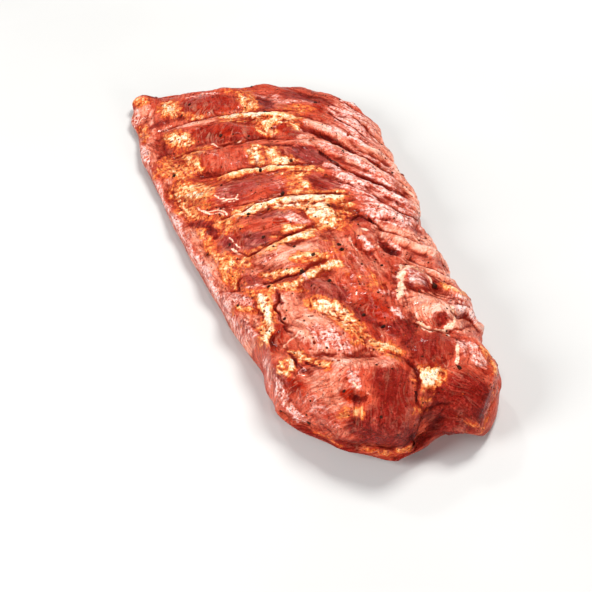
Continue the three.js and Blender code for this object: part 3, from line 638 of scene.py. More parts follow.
    ("pale", 0.8, 5, [(9, 30), (12, 18), (22, 12)]),
    ("pale", 0.3, 1, [(66, 2), (74, 13), (82, 24)]),
    ("pale", 0.3, 0.9, [(76, 3), (84, 15)]),
    # the deep strokes along the bottom edge are painted shade under it; the amber ones between are marinade
    ("amber", 0.7, 3, [(30, 2), (46, 3)]),
    ("deep", 0.8, 4, [(50, 2), (64, 4)]),
    ("amber", 0.8, 3, [(64, 1), (78, 2)]),
    ("deep", 0.7, 5, [(108, 2), (130, 4)]),
    ("amber", 0.7, 3, [(132, 8), (150, 10)]),
    ("peach", 0.8, 2.6, [(80, 2), (92, 8)]),
    ("fat", 0.6, 2, [(82, 4), (90, 8)]),
    ("glaze", 0.8, 6, [(14, 38), (26, 36)]),
    ("amber", 0.9, 4.4, [(15, 44), (22, 51), (25, 58)]),
    ("fat", 0.8, 1.7, [(13, 42), (18, 45)]),
    ("fat", 0.85, 1.7, [(17, 50), (21, 47), (24, 50)]),
    ("fat", 0.8, 1.5, [(20, 57), (25, 54), (27, 57)]),
    ("fat", 0.7, 1.3, [(13, 48), (15, 53)]),
    ("deep", 0.7, 1, [(14, 46), (19, 48.5), (25, 46)]),
    ("amber", 0.95, 5, [(31, 65), (38, 58), (43, 57)]),
    ("fat", 0.85, 2.4, [(31, 66), (34, 60)]),
    ("fat", 0.75, 1.8, [(38, 60), (43, 57)]),
    ("deep", 1, 1.5, [(27, 65), (29, 56), (31, 50)]),
    ("deep", 0.8, 1.2, [(35, 58), (40, 54), (44, 55)]),
    # painted sheen strip down the left edge
    ("pale", 0.9, 2, [(4, 62), (5, 42), (9, 30)]),
    # dark strokes along the roll's upper edge and its right crease: painted shade in the crease
    ("deep", 0.35, 1.5, [(46, 67), (52, 68.5), (60, 66.5)]),
    ("deep", 0.12, 1.5, [(66, 68), (75, 71), (88, 75)]),
    ("deep", 0.6, 1.5, [(90, 73), (94, 67), (96.5, 58), (96.5, 50), (95, 38)]),
    ("crease", 1, 1.3, [(95, 43), (95, 39)]),
]

# Run of the fibres: centre, half axes, degrees from across towards along.
fibreRuns = [
    ((52, 355), (26, 16), 82), ((56, 316), (28, 13), 76), ((50, 285), (26, 16), 84),
    ((98, 282), (12, 14), -50), ((52, 246), (27, 15), 10), ((60, 207), (27, 13), 18),
    ((60, 172), (24, 13), 25), ((92, 160), (18, 42), 84), ((132, 300), (26, 30), -42),
    ((134, 250), (26, 34), -38), ((140, 180), (26, 34), 62), ((126, 136), (12, 14), -60),
    ((150, 115), (18, 20), 48), ((20, 100), (20, 36), 64), ((56, 90), (26, 30), 84),
    ((98, 104), (20, 22), 78), ((124, 104), (14, 20), 80), ((116, 68), (22, 18), 76),
    ((36, 38), (28, 26), 42), ((78, 40), (22, 34), 82), ((74, 8), (26, 12), 50),
    ((124, 30), (28, 24), -35), ((14, 60), (16, 34), 66), ((24, 200), (18, 40), 60),
    ((7, 240), (9, 140), 88), ((120, 365), (34, 20), -30), ((80, 333), (34, 5), -3),
    ((72, 300), (40, 4), 4), ((70, 266), (46, 5), 2), ((76, 228), (36, 7), 6),
    ((64, 189), (30, 4), 28), ((66, 152), (24, 4), 32), ((20, 262), (14, 10), 14),
]

painting = {
    "stray": {"reach": 1.7, "size": 6, "seeds": (41, 57)},  # how far the edges wander
    "thinBelow": 1.3,  # lines of a smaller half width run smoother
    "thinStray": 0.35,
    "edge": (0.7, 0.3),  # softness of an edge in millimetres, and as a share of the half width
    "fatEdge": (1, 0.45),
    "halo": {"fromHalfWidth": 2, "reach": 2.2, "strength": 0.5, "edge": 0.6},  # orange around the fat
    "fibreBend": {"reach": 3, "size": 26, "seed": 77},
    "fibreJitter": 40,  # keeps the grain of one run from going on in the next
}


def paintSkin(p, q):  # how much of each tissue is at each place
    halo = painting["halo"]
    strayP, strayQ = strayed(p, q, painting["stray"], 3, 0.6)
    cover = {tissue: np.zeros(p.shape) for tissue in tissues}

    def lay(tissue, strength, halfWidth, softness, distance):
        laid = strength * np.clip(0.5 + (halfWidth - distance) / (2 * min(softness, halfWidth)), 0, 1)
        for name in tissues:
            cover[name] *= 1 - laid
        if tissue in cover:
            cover[tissue] += laid

    for tissue, strength, halfWidth, path in layers:
        loose = painting["thinStray"] if halfWidth < painting["thinBelow"] else 1
        distance, _ = toPath(p + loose * (strayP - p), q + loose * (strayQ - q), path)
        if tissue == "fat" and halfWidth > halo["fromHalfWidth"]:
            reach = halfWidth + halo["reach"]
            lay("amber", halo["strength"] * strength, reach, halo["edge"] * reach, distance)
        softness, share = painting["fatEdge"] if tissue in ("fat", "amber") else painting["edge"]
        lay(tissue, strength, halfWidth, softness + halfWidth * share, distance)
    return cover


def fibrePlace(p, q):  # place along and across the fibres, in the run that is strongest there
    bend = painting["fibreBend"]
    bent = bend["reach"] * roughen(p, q, bend["size"], bend["seed"], 2)
    best = np.full(p.shape, -1e9)
    along, across = p.copy(), q.copy()
    for k, ((atP, atQ), (halfP, halfQ), turn) in enumerate(fibreRuns):
        near = 1 - ((p - atP) / halfP) ** 2 - ((q - atQ) / halfQ) ** 2
        closer = near > best
        angle = np.radians(turn)
        shift = painting["fibreJitter"] * k
        runAlong = (p - atP) * np.cos(angle) + (q - atQ) * np.sin(angle) + shift
        runAcross = (q - atQ) * np.cos(angle) - (p - atP) * np.sin(angle) + bent + shift
        best = np.where(closer, near, best)
        along = np.where(closer, runAlong, along)
        across = np.where(closer, runAcross, across)
    return along, across


def skinAt(p, q):  # cover of each tissue, and place along and across the fibres
    along, across = fibrePlace(p, q)
    return {**paintSkin(p, q), "along": along, "across": across}


def flankRelief(p, q):  # loose folds down the right flank
    folds = relief["flankFolds"]
    strayP, strayQ = strayed(p, q, folds["stray"])
    turn = np.radians(-folds["turn"])
    along = (strayP * np.cos(turn) + strayQ * np.sin(turn)) / folds["length"]
    across = (strayQ * np.cos(turn) - strayP * np.sin(turn)) / folds["width"]
    creased = 0.7 - 2.2 * np.abs(roughen(along, across, 1, folds["seed"], 2))
    onFlank = (np.clip((p - folds["fromP"]) / (folds["fullP"] - folds["fromP"]), 0, 1)
               * np.clip((q - folds["fromQ"]) / (folds["fullQ"] - folds["fromQ"]), 0, 1))
    return folds["height"] * onFlank * creased


def fineRelief(p, q, skin):  # fibres, lumps of fat, wrinkles and the edges of the tissues
    fibre, fat, wrinkles = relief["fibre"], relief["fatLumps"], relief["wrinkles"]
    bare = 1 - np.clip(skin["fat"] + skin["amber"] + 0.7 * skin["glaze"], 0, 1)
    threads = roughen(skin["along"] / fibre["length"], skin["across"] / fibre["width"], 1, fibre["seed"])
    height = fibre["height"] * (0.35 + 0.65 * bare) * threads
    fatty = np.clip(skin["fat"] + 0.7 * skin["amber"], 0, 1)
    height += fat["height"] * fatty * roughen(p, q, fat["size"], fat["seed"], 3, 0.6)
    dry = 1 - 0.6 * skin["glaze"]
    height += wrinkles["height"] * dry * roughen(p, q, wrinkles["size"], wrinkles["seed"], 3, 0.55)
    height += flankRelief(p, q)
    for tissue, depth in relief["inkDepth"].items():
        height -= depth * skin[tissue]
    return height


def smoothed(grid, reach):  # running mean over a square window, by summed rows and columns
    count = 2 * reach + 1
    for axis in (0, 1):
        size = grid.shape[axis]
        first, last = (np.repeat(np.take(grid, [end], axis), reach, axis) for end in (0, -1))
        total = np.cumsum(np.insert(np.concatenate([first, grid, last], axis), 0, 0, axis), axis)
        past = np.take(total, range(count, count + size), axis)
        grid = (past - np.take(total, range(size), axis)) / count
    return grid


around = ((0, 0), (1, 0), (2, 0), (2, 1), (2, 2), (1, 2), (0, 2), (0, 1))  # corners of an underside face


def gridFaces(top, under):  # quads of the top, and of the underside with the extra corners along the rim
    rows, columns = top.shape
    upper = np.stack([top[:-1, :-1], top[:-1, 1:], top[1:, 1:], top[1:, :-1]], -1).reshape(-1, 4).tolist()
    lower = []
    for j in range(0, rows - 1, 2):
        for i in range(0, columns - 1, 2):
            ring = [(j + down, i + over) for down, over in around]
            onRim = [a in (0, rows - 1) or b in (0, columns - 1) for a, b in ring]
            kept = [(a, b) for (a, b), rimmed in zip(ring, onRim) if rimmed or (a % 2 == 0 and b % 2 == 0)]
            lower.append([int(under[a, b]) for a, b in kept])
    return upper + lower


def meshFrom(name, points, faces, material, smooth=True):
    mesh = bpy.data.meshes.new(name)
    mesh.from_pydata(np.asarray(points).tolist(), [], faces)
    mesh.materials.append(material)
    mesh.polygons.foreach_set("use_smooth", [smooth] * len(mesh.polygons))
    mesh.update()
    piece = bpy.data.objects.new(name, mesh)
    bpy.context.scene.collection.objects.link(piece)
    return piece


def vertexNormals(points, faces):
    mesh = bpy.data.meshes.new("probe")
    mesh.from_pydata(points.tolist(), [], faces)
    normals = np.zeros(len(points) * 3, np.float32)
    mesh.vertex_normals.foreach_get("vector", normals)
    bpy.data.meshes.remove(mesh)
    return normals.reshape(-1, 3).astype(float)


def lookDirection():  # which way the camera looks
    heading, down = math.radians(camera["heading"]), math.radians(camera["down"])
    return math.sin(heading) * math.cos(down), math.cos(heading) * math.cos(down), -math.sin(down)


def carriedBack(p, q, points, normals, height):
    # Layers, bands and seams are placed as they show from the front on the bare form, so where the meat
    # is raised each place takes what lies a little further back.
    leastFacing, leastStretch = 0.45, 0.3
    toEye = -np.array(lookDirection())
    facing = np.maximum(normals @ toEye, leastFacing)
    shifts = []
    for axis, places in ((1, p), (0, q)):
        tangent = np.gradient(points, axis=axis) / np.gradient(places, axis=axis)[..., None]
        stretch = np.maximum((tangent**2).sum(-1), leastStretch)
        shifts.append(-height * (tangent @ toEye) / facing / stretch)
    return p + shifts[0], q + shifts[1]


def liftSkin(p, q, points, normals):  # slow and full height of the relief, and what the skin is made of
    slow = slowRelief(p, q)
    slow += bandRelief(*carriedBack(p, q, points, normals, slow))
    skin = skinAt(*carriedBack(p, q, points, normals, smoothed(slow, 2)))
    (width, length), fade = form["skin"], relief["rimFade"]
    fromRim = np.minimum(np.minimum(p, width - p), np.minimum(q, length - q))
    height = slow + fineRelief(p, q, skin) * np.clip(fromRim / fade["width"] + fade["atRim"], 0, 1)
    # hollow: how far a place lies below the mean around it; the material paints shade into the hollows and
    # light onto raised places from it
    hollow = sum((smoothed(height, reach) - height) * weight for reach, weight in relief["hollows"])
    return slow, height, {**skin, "hollow": np.clip(hollow, -1, 1)}


def beyondRim(p, q):  # where an underside place would be if the skin went on outward past the rim
    width, length = form["skin"]
    side = np.stack([p, width - p, q, length - q]).argmin(0)
    outP = np.choose(side, [-p, 2 * width - p, p, p])
    return outP, np.choose(side, [q, q, -q, 2 * length - q])


channels = {  # the attributes that the material reads, three values in each
    "tissueOne": ("fat", "amber", "glaze"),
    "tissueTwo": ("mauve", "pale", "deep"),
    "tissueThree": ("peach", "crease", "hollow"),
    "grain": ("along", "across", "sinew"),
}


def shapeMeat():
    (width, length), (across, along) = form["skin"], form["cells"]
    p, q = np.meshgrid(np.linspace(0, width, across + 1), np.linspace(0, length, along + 1))
    topPoints, underPoints, tuck = baseSkin(p, q)
    inner = np.zeros(p.shape, bool)
    inner[2:-1:2, 2:-1:2] = True
    topIndex = np.arange(p.size).reshape(p.shape)
    underIndex = topIndex.copy()
    underIndex[inner] = p.size + np.arange(inner.sum())
    points = np.concatenate([topPoints.reshape(-1, 3), underPoints[inner]])
    faces = gridFaces(topIndex, underIndex)
    normals = vertexNormals(points, faces)
    topNormals = normals[: p.size].reshape(*p.shape, 3)

    slow, height, above = liftSkin(p, q, topPoints, topNormals)
    outward = topNormals[inner] * (1, 1, 0)  # the underside follows the top sideways only
    outward /= np.maximum(np.linalg.norm(outward, axis=1), 1e-6)[:, None]
    lift = np.concatenate([height.ravel(), (slow * (1 - tuck))[inner]])
    points = points + np.concatenate([normals[: p.size], outward]) * lift[:, None]
    points[:, 2] = np.maximum(points[:, 2], 0)
    points[:, :2] += form["footShift"]

    piece = meshFrom("ribsMeat", points * mm, faces, meatMaterial())
    below = {**skinAt(*beyondRim(p[inner], q[inner])), "hollow": np.zeros(inner.sum())}
    for name, parts in channels.items():
        values = np.stack([np.concatenate([above[part].ravel(), below[part]]) for part in parts], -1)
        attribute = piece.data.attributes.new(name, "FLOAT_VECTOR", "POINT")
        attribute.data.foreach_set("vector", values.astype(np.float32).ravel())
    ofTop = {"points": points, "normals": vertexNormals(points, faces)}
    return piece, {key: values[: p.size].reshape(*p.shape, 3) for key, values in ofTop.items()}


class Wire:  # a socket that can be added, multiplied and so on; each operation adds one Math node
    def __init__(self, kit, socket):
        self.kit, self.socket = kit, socket

    def math(self, operation, *values, clamp=False):
        settings = {"operation": operation, "use_clamp": clamp}
        return self.kit.add("ShaderNodeMath", settings, dict(enumerate(values)))

    def __add__(self, other):
        return self.math("ADD", self, other)

    def __sub__(self, other):
        return self.math("SUBTRACT", self, other)

    def __rsub__(self, other):
        return self.math("SUBTRACT", other, self)

    def __mul__(self, other):
        return self.math("MULTIPLY", self, other)

    def __truediv__(self, other):
        return self.math("DIVIDE", self, other)

    def __rtruediv__(self, other):
        return self.math("DIVIDE", other, self)

    def __abs__(self):
        return self.math("ABSOLUTE", self)

    __radd__ = __add__
    __rmul__ = __mul__

    def clamped(self):
        return self.math("ADD", self, 0.0, clamp=True)

    def output(self, name):  # another output of the same node
        return Wire(self.kit, self.socket.node.outputs[name])


class ShaderKit:
    def __init__(self, name):
        self.material = bpy.data.materials.new(name)
        self.material.use_nodes = True
        self.tree = self.material.node_tree
        self.tree.nodes.clear()

    def add(self, kind, settings, values, output=0):  # any node: its settings first, then its sockets
        node = self.tree.nodes.new(kind)
        for key, value in settings.items():
            if key == "stops":
                ramp = node.color_ramp
                while len(ramp.elements) < len(value):
                    ramp.elements.new(0.5)
                for element, (place, colour) in zip(ramp.elements, value):
                    element.position, element.color = place, colour
            else:
                setattr(node, key, value)
        for key, value in values.items():
            if isinstance(value, Wire):
                self.tree.links.new(value.socket, node.inputs[key])
            else:
                node.inputs[key].default_value = value
        return Wire(self, node.outputs[output]) if node.outputs else None

    def mix(self, factor, low, high, blend="MIX"):
        settings = {"data_type": "RGBA", "blend_type": blend, "clamp_factor": True}
        return self.add("ShaderNodeMix", settings, {0: factor, 6: low, 7: high}, 2)

    def noise(self, vector, scale, detail=2.0, roughness=0.5, distortion=0.0):  # about -1 to 1
        values = {"Vector": vector, "Scale": scale, "Detail": detail, "Roughness": roughness,
                  "Distortion": distortion}
        return (self.add("ShaderNodeTexNoise", {"noise_dimensions": "3D"}, values) - 0.5) * 3.2

    def step(self, value, low, high):  # smooth 0 to 1 between low and high
        return self.add("ShaderNodeMapRange", {"interpolation_type": "SMOOTHSTEP"},
                        {"Value": value, "From Min": low, "From Max": high})

    def attribute(self, name):
        vector = self.add("ShaderNodeAttribute", {"attribute_name": name}, {}, "Vector")
        split = self.add("ShaderNodeSeparateXYZ", {}, {0: vector})
        return [split.output(k) for k in range(3)]

    def place(self):  # object coordinates in millimetres
        where = self.add("ShaderNodeTexCoord", {}, {}, "Object")
        return self.add("ShaderNodeVectorMath", {"operation": "SCALE"}, {0: where, "Scale": 1000.0})

    def finish(self, values):
        shader = self.add("ShaderNodeBsdfPrincipled", {}, values)
        self.add("ShaderNodeOutputMaterial", {}, {"Surface": shader})
        return self.material


def tone(red, green, blue):  # screen colour from 0 to 255 as a linear one
    shares = [value / 255 for value in (red, green, blue)]
    return (*[c / 12.92 if c < 0.04 else ((c + 0.055) / 1.055) ** 2.4 for c in shares], 1.0)


meatFinish = {
    # shades of each tissue, from its darkest to its lightest: place on the ramp, then screen colour
    "muscle": [(0, 112, 14, 4), (0.4, 186, 62, 40), (0.75, 220, 108, 80), (1, 248, 176, 150)],
    "peach": [(0, 170, 56, 34), (0.5, 230, 138, 110), (1, 255, 216, 200)],
    "glaze": [(0, 98, 6, 0), (0.5, 166, 32, 6), (1, 208, 70, 28)],
    # mauve: a cool purplish red, the muscle's own tone in part and painted lavender sheen in part
    "mauve": [(0, 84, 12, 14), (0.5, 146, 46, 42), (1, 204, 116, 108)],
    # pale: whitish membrane, and painted sheen and glints on the wet meat
    "pale": [(0, 116, 22, 16), (0.25, 186, 76, 58), (0.5, 232, 148, 130), (0.76, 246, 196, 188),
             (1, 255, 236, 234)],
    "deep": [(0, 40, 1, 0), (0.5, 114, 16, 10), (0.8, 156, 42, 32), (1, 200, 92, 76)],
    "fat": [(0.08, 170, 48, 18), (0.32, 220, 106, 46), (0.52, 238, 154, 90), (0.74, 250, 204, 148),
            (0.95, 255, 238, 212)],
    "sinew": [(0, 220, 124, 84), (0.5, 246, 188, 152), (1, 255, 232, 216)],
    # crease: the dark lines along the seams, painted shade in the grooves
    "crease": [(0, 30, 2, 1), (0.6, 78, 10, 5), (1, 120, 30, 16)],
    "film": tone(234, 160, 116),  # what a thick layer of marinade does to the colour under it; it is thicker in the hollows, where it is painted shade as well
    "marinadeAndHollowShade": tone(150, 44, 18),  # marinade that has run into the hollows, and painted shade there
    "vein": tone(132, 36, 18),
    "tendon": tone(250, 184, 150),
    "proud": (1, 0.66, 0.5, 1),  # painted highlight: places that stand up are lightened
    "rubGrain": tone(116, 24, 6),
    "dot": tone(66, 12, 5),
    "dots": [(0.34, 0.17, 0.6), (0.75, 0.25, 0.5)],  # cells a millimetre, size in cells, share left empty
    "dotStray": {"scale": 0.9, "detail": 2, "reach": 2.4},
    # noise: scale a millimetre, detail, roughness
    "noise": {
        "broad": (0.07, 3, 0.55),
        "mottle": (0.26, 4, 0.65),
        "lumps": (0.45, 2, 0.6),
        "fine": (0.8, 3, 0.65),
        "bundles": (0.05, 2, 0.5),
        "spice": (0.62, 4, 0.75),
    },
    # noise drawn out along the fibres: length and width in millimetres, detail, how much it wavers
    "grain": {
        "strands": (24, 3.2, 2, 0.25),
        "fibre": (15, 1.5, 2, 0.25),
        "threads": (9, 0.8, 1, 0.2),
        "veins": (24, 6, 2, 0.7),
        "tendons": (26, 5, 2, 0.5),
    },
    "grainRoughness": 0.6,
    "roughness": 0.45,
    "specular": 0.15,
    "ior": 1.4,
    "coat": 1.0,
    "coatRoughness": 0.12,
    "dryCoat": 0.12,  # share of the coat that even the dry places have
    "bump": {"Strength": 0.8, "Distance": 0.001},
    "subsurface": {"Weight": 0.08, "Radius": (1.0, 0.3, 0.15), "Scale": 0.002},
}


def meatMaterial():
    kit = ShaderKit("wetMeat")
    fat, amber, glaze = kit.attribute("tissueOne")
    mauve, pale, deep = kit.attribute("tissueTwo")
    peach, crease, hollow = kit.attribute("tissueThree")
    along, across, sinew = kit.attribute("grain")
    place = kit.place()

    def grain(length, width, detail, distortion):
        stretched = kit.add("ShaderNodeCombineXYZ", {}, {0: along / length, 1: across / width})
        return kit.noise(stretched, 1.0, detail, meatFinish["grainRoughness"], distortion)

    noise = {name: kit.noise(place, *row) for name, row in meatFinish["noise"].items()}
    broad, mottle, lumps, fine = (noise[name] for name in ("broad", "mottle", "lumps", "fine"))
    strands, fibre, threads, veins, tendons = (grain(*row) for row in meatFinish["grain"].values())
    ragged = 0.5 * mottle + 0.4 * fine + 0.35 * fibre

    def laid(cover, reach=0.5, edge=0.16, pattern=ragged):  # breaks a smooth cover into an uneven edge
        return kit.step(cover + pattern * reach, 0.5 - edge, 0.5 + edge)

    def shades(name, lightness):
        stops = [(stop, tone(*colour)) for stop, *colour in meatFinish[name]]
        return kit.add("ShaderNodeValToRGB", {"stops": stops}, {0: lightness})

    def spread(lightness):  # noise sums to a place on a tissue's shades
        return kit.step(lightness, -0.8, 0.8)

    # the tissues, each over the ones before
    stringy = 0.3 + 0.7 * kit.step(noise["bundles"], -0.5, 0.7)
    streaks = (0.6 * strands + 0.4 * fibre + 0.2 * threads) * stringy
    woven = 0.4 * mottle + 0.4 * lumps + 0.4 * strands + 0.3 * fibre
    colour = shades("muscle", spread(0.7 * streaks + 0.4 * broad + 0.3 * mottle + 0.2 * fine))
    # peach and pale are darker in the hollows: painted shade
    for name, mask, lightness in (
        ("peach", laid(peach, 0.4, 0.3), 0.85 * streaks + 0.3 * mottle + 0.3 * fine - 0.4 * hollow),
        ("glaze", laid(glaze, 0.3, 0.25), 0.6 * broad + 0.45 * streaks + 0.4 * mottle),
        ("mauve", laid(mauve, 0.36, 0.25), 0.5 * mottle + 0.8 * streaks + 0.3 * fine),
        ("pale", laid(pale, 0.6, 0.3, woven), 0.8 * streaks + 0.5 * lumps + 0.7 * fine - 0.45 * hollow),
        ("deep", laid(deep, 0.5, 0.25), 0.55 * streaks + 0.4 * mottle + 0.4 * fine + 0.1),
    ):
        colour = kit.mix(mask, colour, shades(name, spread(lightness)))
    fatness = fat + 0.5 * amber
    crumbly = 0.5 * mottle + 0.6 * lumps + 0.5 * fine + 0.3 * fibre + 0.35 * strands
    # fat is darker in the hollows and lighter where it stands up: painted shade and painted light
    fatness = 0.76 * fatness + crumbly * (0.19 + 0.85 * fatness) - hollow * (0.12 + 0.5 * fatness.clamped())
    colour = kit.mix(kit.step(fatness, 0.1, 0.34), colour, shades("fat", fatness))

    # tendons, veins and sinews, and creases painted dark as shade in the seams
    patchy = kit.step(0.6 * broad + 0.5 * mottle, -0.5, 0.5)
    pulled = kit.step(abs(tendons), 0.16, 0.04) * (1 - patchy) * (1 - 0.75 * deep)
    colour = kit.mix(0.36 * pulled * stringy, colour, meatFinish["tendon"])
    lined = kit.step(abs(veins), 0.13, 0.03) * (0.2 + 0.8 * patchy)
    colour = kit.mix(0.6 * lined, colour, meatFinish["vein"], "MULTIPLY")
    threaded = kit.step(sinew + 0.12 * fine, 0.3, 0.62)
    colour = kit.mix(threaded, colour, shades("sinew", spread(0.8 * fine + 0.2)))
    # creases: painted shade in the seams
    colour = kit.mix(laid(crease, 0.3), colour, shades("crease", spread(fine)))

    # marinade and the spice in it, painted shade in the hollows, and painted highlights where the meat
    # stands up
    # the film thickens in the hollows: marinade pooled there, and painted shade
    film = kit.step(0.5 * broad + 0.6 * mottle + 0.8 * hollow, -0.4, 0.8)
    colour = kit.mix((0.6 - 0.35 * pale) * film, colour, meatFinish["film"], "MULTIPLY")
    # the hollows are darkened: marinade pooled in them, and painted shade
    sunk = kit.step(hollow + 0.4 * fine, 0.04, 0.55)
    colour = kit.mix(0.82 * sunk, colour, meatFinish["marinadeAndHollowShade"], "MULTIPLY")
    # places that stand up are lightened: painted highlight
    proud = kit.step(0.3 * fine - hollow, 0.25, 1.0) * (1 - 0.85 * deep)
    colour = kit.mix((0.22 - 0.16 * pale) * proud, colour, meatFinish["proud"])
    rub = kit.step(noise["spice"] + 0.4 * broad + 0.2 * fat + 0.3 * deep, 0.4, 0.8)
    colour = kit.mix(0.8 * rub, colour, meatFinish["rubGrain"])
    stray = meatFinish["dotStray"]
    uneven = {"Vector": place, "Scale": stray["scale"], "Detail": stray["detail"]}
    push = kit.add("ShaderNodeTexNoise", {}, uneven, "Color")
    pushed = {0: push, 1: (stray["reach"],) * 3, 2: place}
    shaken = kit.add("ShaderNodeVectorMath", {"operation": "MULTIPLY_ADD"}, pushed)
    for scale, reach, empty in meatFinish["dots"]:
        cells = kit.add("ShaderNodeTexVoronoi", {"feature": "F1"}, {"Vector": shaken, "Scale": scale})
        chosen = kit.add("ShaderNodeSeparateColor", {}, {0: cells.output("Color")})
        dot = kit.step(reach + 0.05 * fine - cells, -0.03, 0.03) * kit.step(chosen, empty, empty + 0.02)
        colour = kit.mix(0.7 * dot, colour, meatFinish["dot"])

    # wetness and bumps
    soaked = kit.step(0.8 * mottle + 0.6 * broad + 0.2 * glaze - 0.25 * deep, -0.1, 0.8)
    wet = meatFinish["dryCoat"] + (1 - meatFinish["dryCoat"]) * soaked
    roughness = (meatFinish["roughness"] + 0.16 * fine - 0.14 * wet + 0.1 * fat - 0.06 * glaze).clamped()
    bareness = (1.0 - fat - 0.6 * glaze).clamped()
    height = (0.09 * fibre + 0.22 * strands) * (0.3 + 0.7 * bareness) + 0.3 * fine + 0.55 * mottle
    bump = kit.add("ShaderNodeBump", {}, {"Height": height - 0.3 * lined, **meatFinish["bump"]})
    return kit.finish({
        "Base Color": colour,
        "Roughness": roughness,
        "Normal": bump,
        "Specular IOR Level": meatFinish["specular"],
        "IOR": meatFinish["ior"],
        "Coat Weight": meatFinish["coat"] * wet,
        "Coat Roughness": meatFinish["coatRoughness"],
        "Coat IOR": meatFinish["ior"],
        **{f"Subsurface {key}": value for key, value in meatFinish["subsurface"].items()},
    })


pepper = {
    # the larger crumbs: p, q, size across
    "large": [
        (66, 269, 3), (67, 263, 3.4), (78, 266, 2.6), (74, 238, 4), (72, 233, 3), (49, 219, 3),
        (61, 222, 2.6), (95, 219, 3.4), (17, 278, 3.6), (88, 275, 3.2), (42, 254, 2.6), (13, 187, 2.6),
        (30, 193, 2.8), (51, 193, 3.4), (91, 178, 3.2), (91, 172, 3.8), (62, 152, 3.6), (74, 168.5, 3.2),
        (65, 177, 2.8), (54, 176, 2.6), (76, 144, 3.4), (97, 155, 2.6), (109, 151, 2.6), (85, 108, 3),
        (39, 108, 2.8), (93, 98, 3.2), (136, 137, 3.6), (124, 47, 3.4), (57, 36, 2.6), (28, 8, 2.8),
        (77, 27, 2.6), (40, 141, 3), (84, 331, 3), (54, 311, 3.2), (70, 306, 2.6), (41, 358, 2.8),
        (34, 351, 2.6), (119, 353, 3), (13, 121, 2.6), (43, 53, 2.6),
    ],
    "largeScale": 0.72,  # they are a little smaller here than in the solid
    "fine": {"count": 700, "smallest": 0.5, "largest": 1.5, "seed": 11},
    "seed": 3,
    "sunk": 0.3,  # share of the height that is pressed into the skin
    "flat": 0.5,  # height as a share of the size
    "rough": 0.26,
    "dark": tone(22, 8, 5),
    "light": tone(82, 42, 28),
    "roughness": 0.6,
}
chilli = {
    "count": 420,
    "smallest": 0.7,
    "largest": 2.3,
    "seed": 29,
    "sunk": 0.2,
    "flat": 0.22,
    "rough": 0.3,
    "dark": tone(96, 18, 6),
    "light": tone(188, 66, 24),
    "roughness": 0.42,
}
strewing = {
    "p": (3, 165),
    "q": (4, 392),
    "patch": 24,  # how wide the thicker and thinner patches are
    "thickness": 0.55,
    "patchiness": 0.5,
    "smallness": 2.2,  # above 1, more of the crumbs are small
    "finerAbove": 2,  # larger crumbs have more sides
}


def crumbShape(divisions):
    ball = bpy.data.meshes.new("ball")
    shape = bmesh.new()
    bmesh.ops.create_icosphere(shape, subdivisions=divisions, radius=0.5)
    shape.to_mesh(ball)
    shape.free()
    points = np.array([v.co for v in ball.vertices])
    faces = [list(face.vertices) for face in ball.polygons]
    bpy.data.meshes.remove(ball)
    return points, faces


def onSkin(skin, p, q):  # point and normal of the finished meat at a place on the skin
    (width, length), (across, along) = form["skin"], form["cells"]
    i, j = round(p / width * across), round(q / length * along)
    return skin["points"][j, i], skin["normals"][j, i]


def strew(name, places, settings, skin, material):  # one mesh of uneven crumbs pressed into the skin
    draw = np.random.default_rng(settings["seed"])
    finer, coarser = crumbShape(2), crumbShape(1)
    points, faces = [], []
    for p, q, size in places:
        shape, shapeFaces = finer if size > strewing["finerAbove"] else coarser
        spot, outward = onSkin(skin, p, q)
        side = np.cross(outward, (0.3, 1, 0.2))
        side /= np.linalg.norm(side)
        axes = np.stack([side, np.cross(outward, side), outward])
        turn = draw.uniform(0, 2 * np.pi)
        cosine, sine = math.cos(turn), math.sin(turn)
        spin = np.array([[cosine, -sine, 0], [sine, cosine, 0], [0, 0, 1]])
        stretch = np.array([draw.uniform(0.85, 1.15), draw.uniform(0.7, 1.0), settings["flat"]])
        uneven = 1 + settings["rough"] * draw.uniform(-1, 1, (len(shape), 1))
        local = (shape * uneven * stretch * size) @ spin.T
        local[:, 2] += size * settings["flat"] * (0.5 - settings["sunk"])
        faces += [[k + len(points) for k in face] for face in shapeFaces]
        points += (spot + local @ axes).tolist()
    return meshFrom(name, np.array(points) * mm, faces, material, smooth=False)


def scatter(settings):  # places for small crumbs, thicker in some areas than in others
    draw = np.random.default_rng(settings["seed"])
    found = []
    while len(found) < settings["count"]:
        p, q, luck = draw.uniform(*strewing["p"]), draw.uniform(*strewing["q"]), draw.uniform(0, 1)
        patch = float(ripple(np.array([p]), np.array([q]), strewing["patch"], settings["seed"])[0])
        if luck < strewing["thickness"] + strewing["patchiness"] * patch:
            share = draw.uniform(0, 1) ** strewing["smallness"]
            found.append((p, q, settings["smallest"] + share * (settings["largest"] - settings["smallest"])))
    return found


def crumbMaterial(name, settings):
    kit = ShaderKit(name)
    place = kit.place()
    grain = kit.noise(place, 0.9, 3, 0.6)
    patch = kit.noise(place, 0.16, 2, 0.5)
    colour = kit.mix(kit.step(0.7 * grain + 0.7 * patch, -0.5, 0.9), settings["dark"], settings["light"])
    bump = kit.add("ShaderNodeBump", {}, {"Height": grain, "Strength": 0.5, "Distance": 0.0004})
    return kit.finish({
        "Base Color": colour,
        "Roughness": settings["roughness"] + 0.1 * grain,
        "Normal": bump,
        "Specular IOR Level": 0.2,
        "Coat Weight": 0.1,
        "Coat Roughness": 0.3,
    })


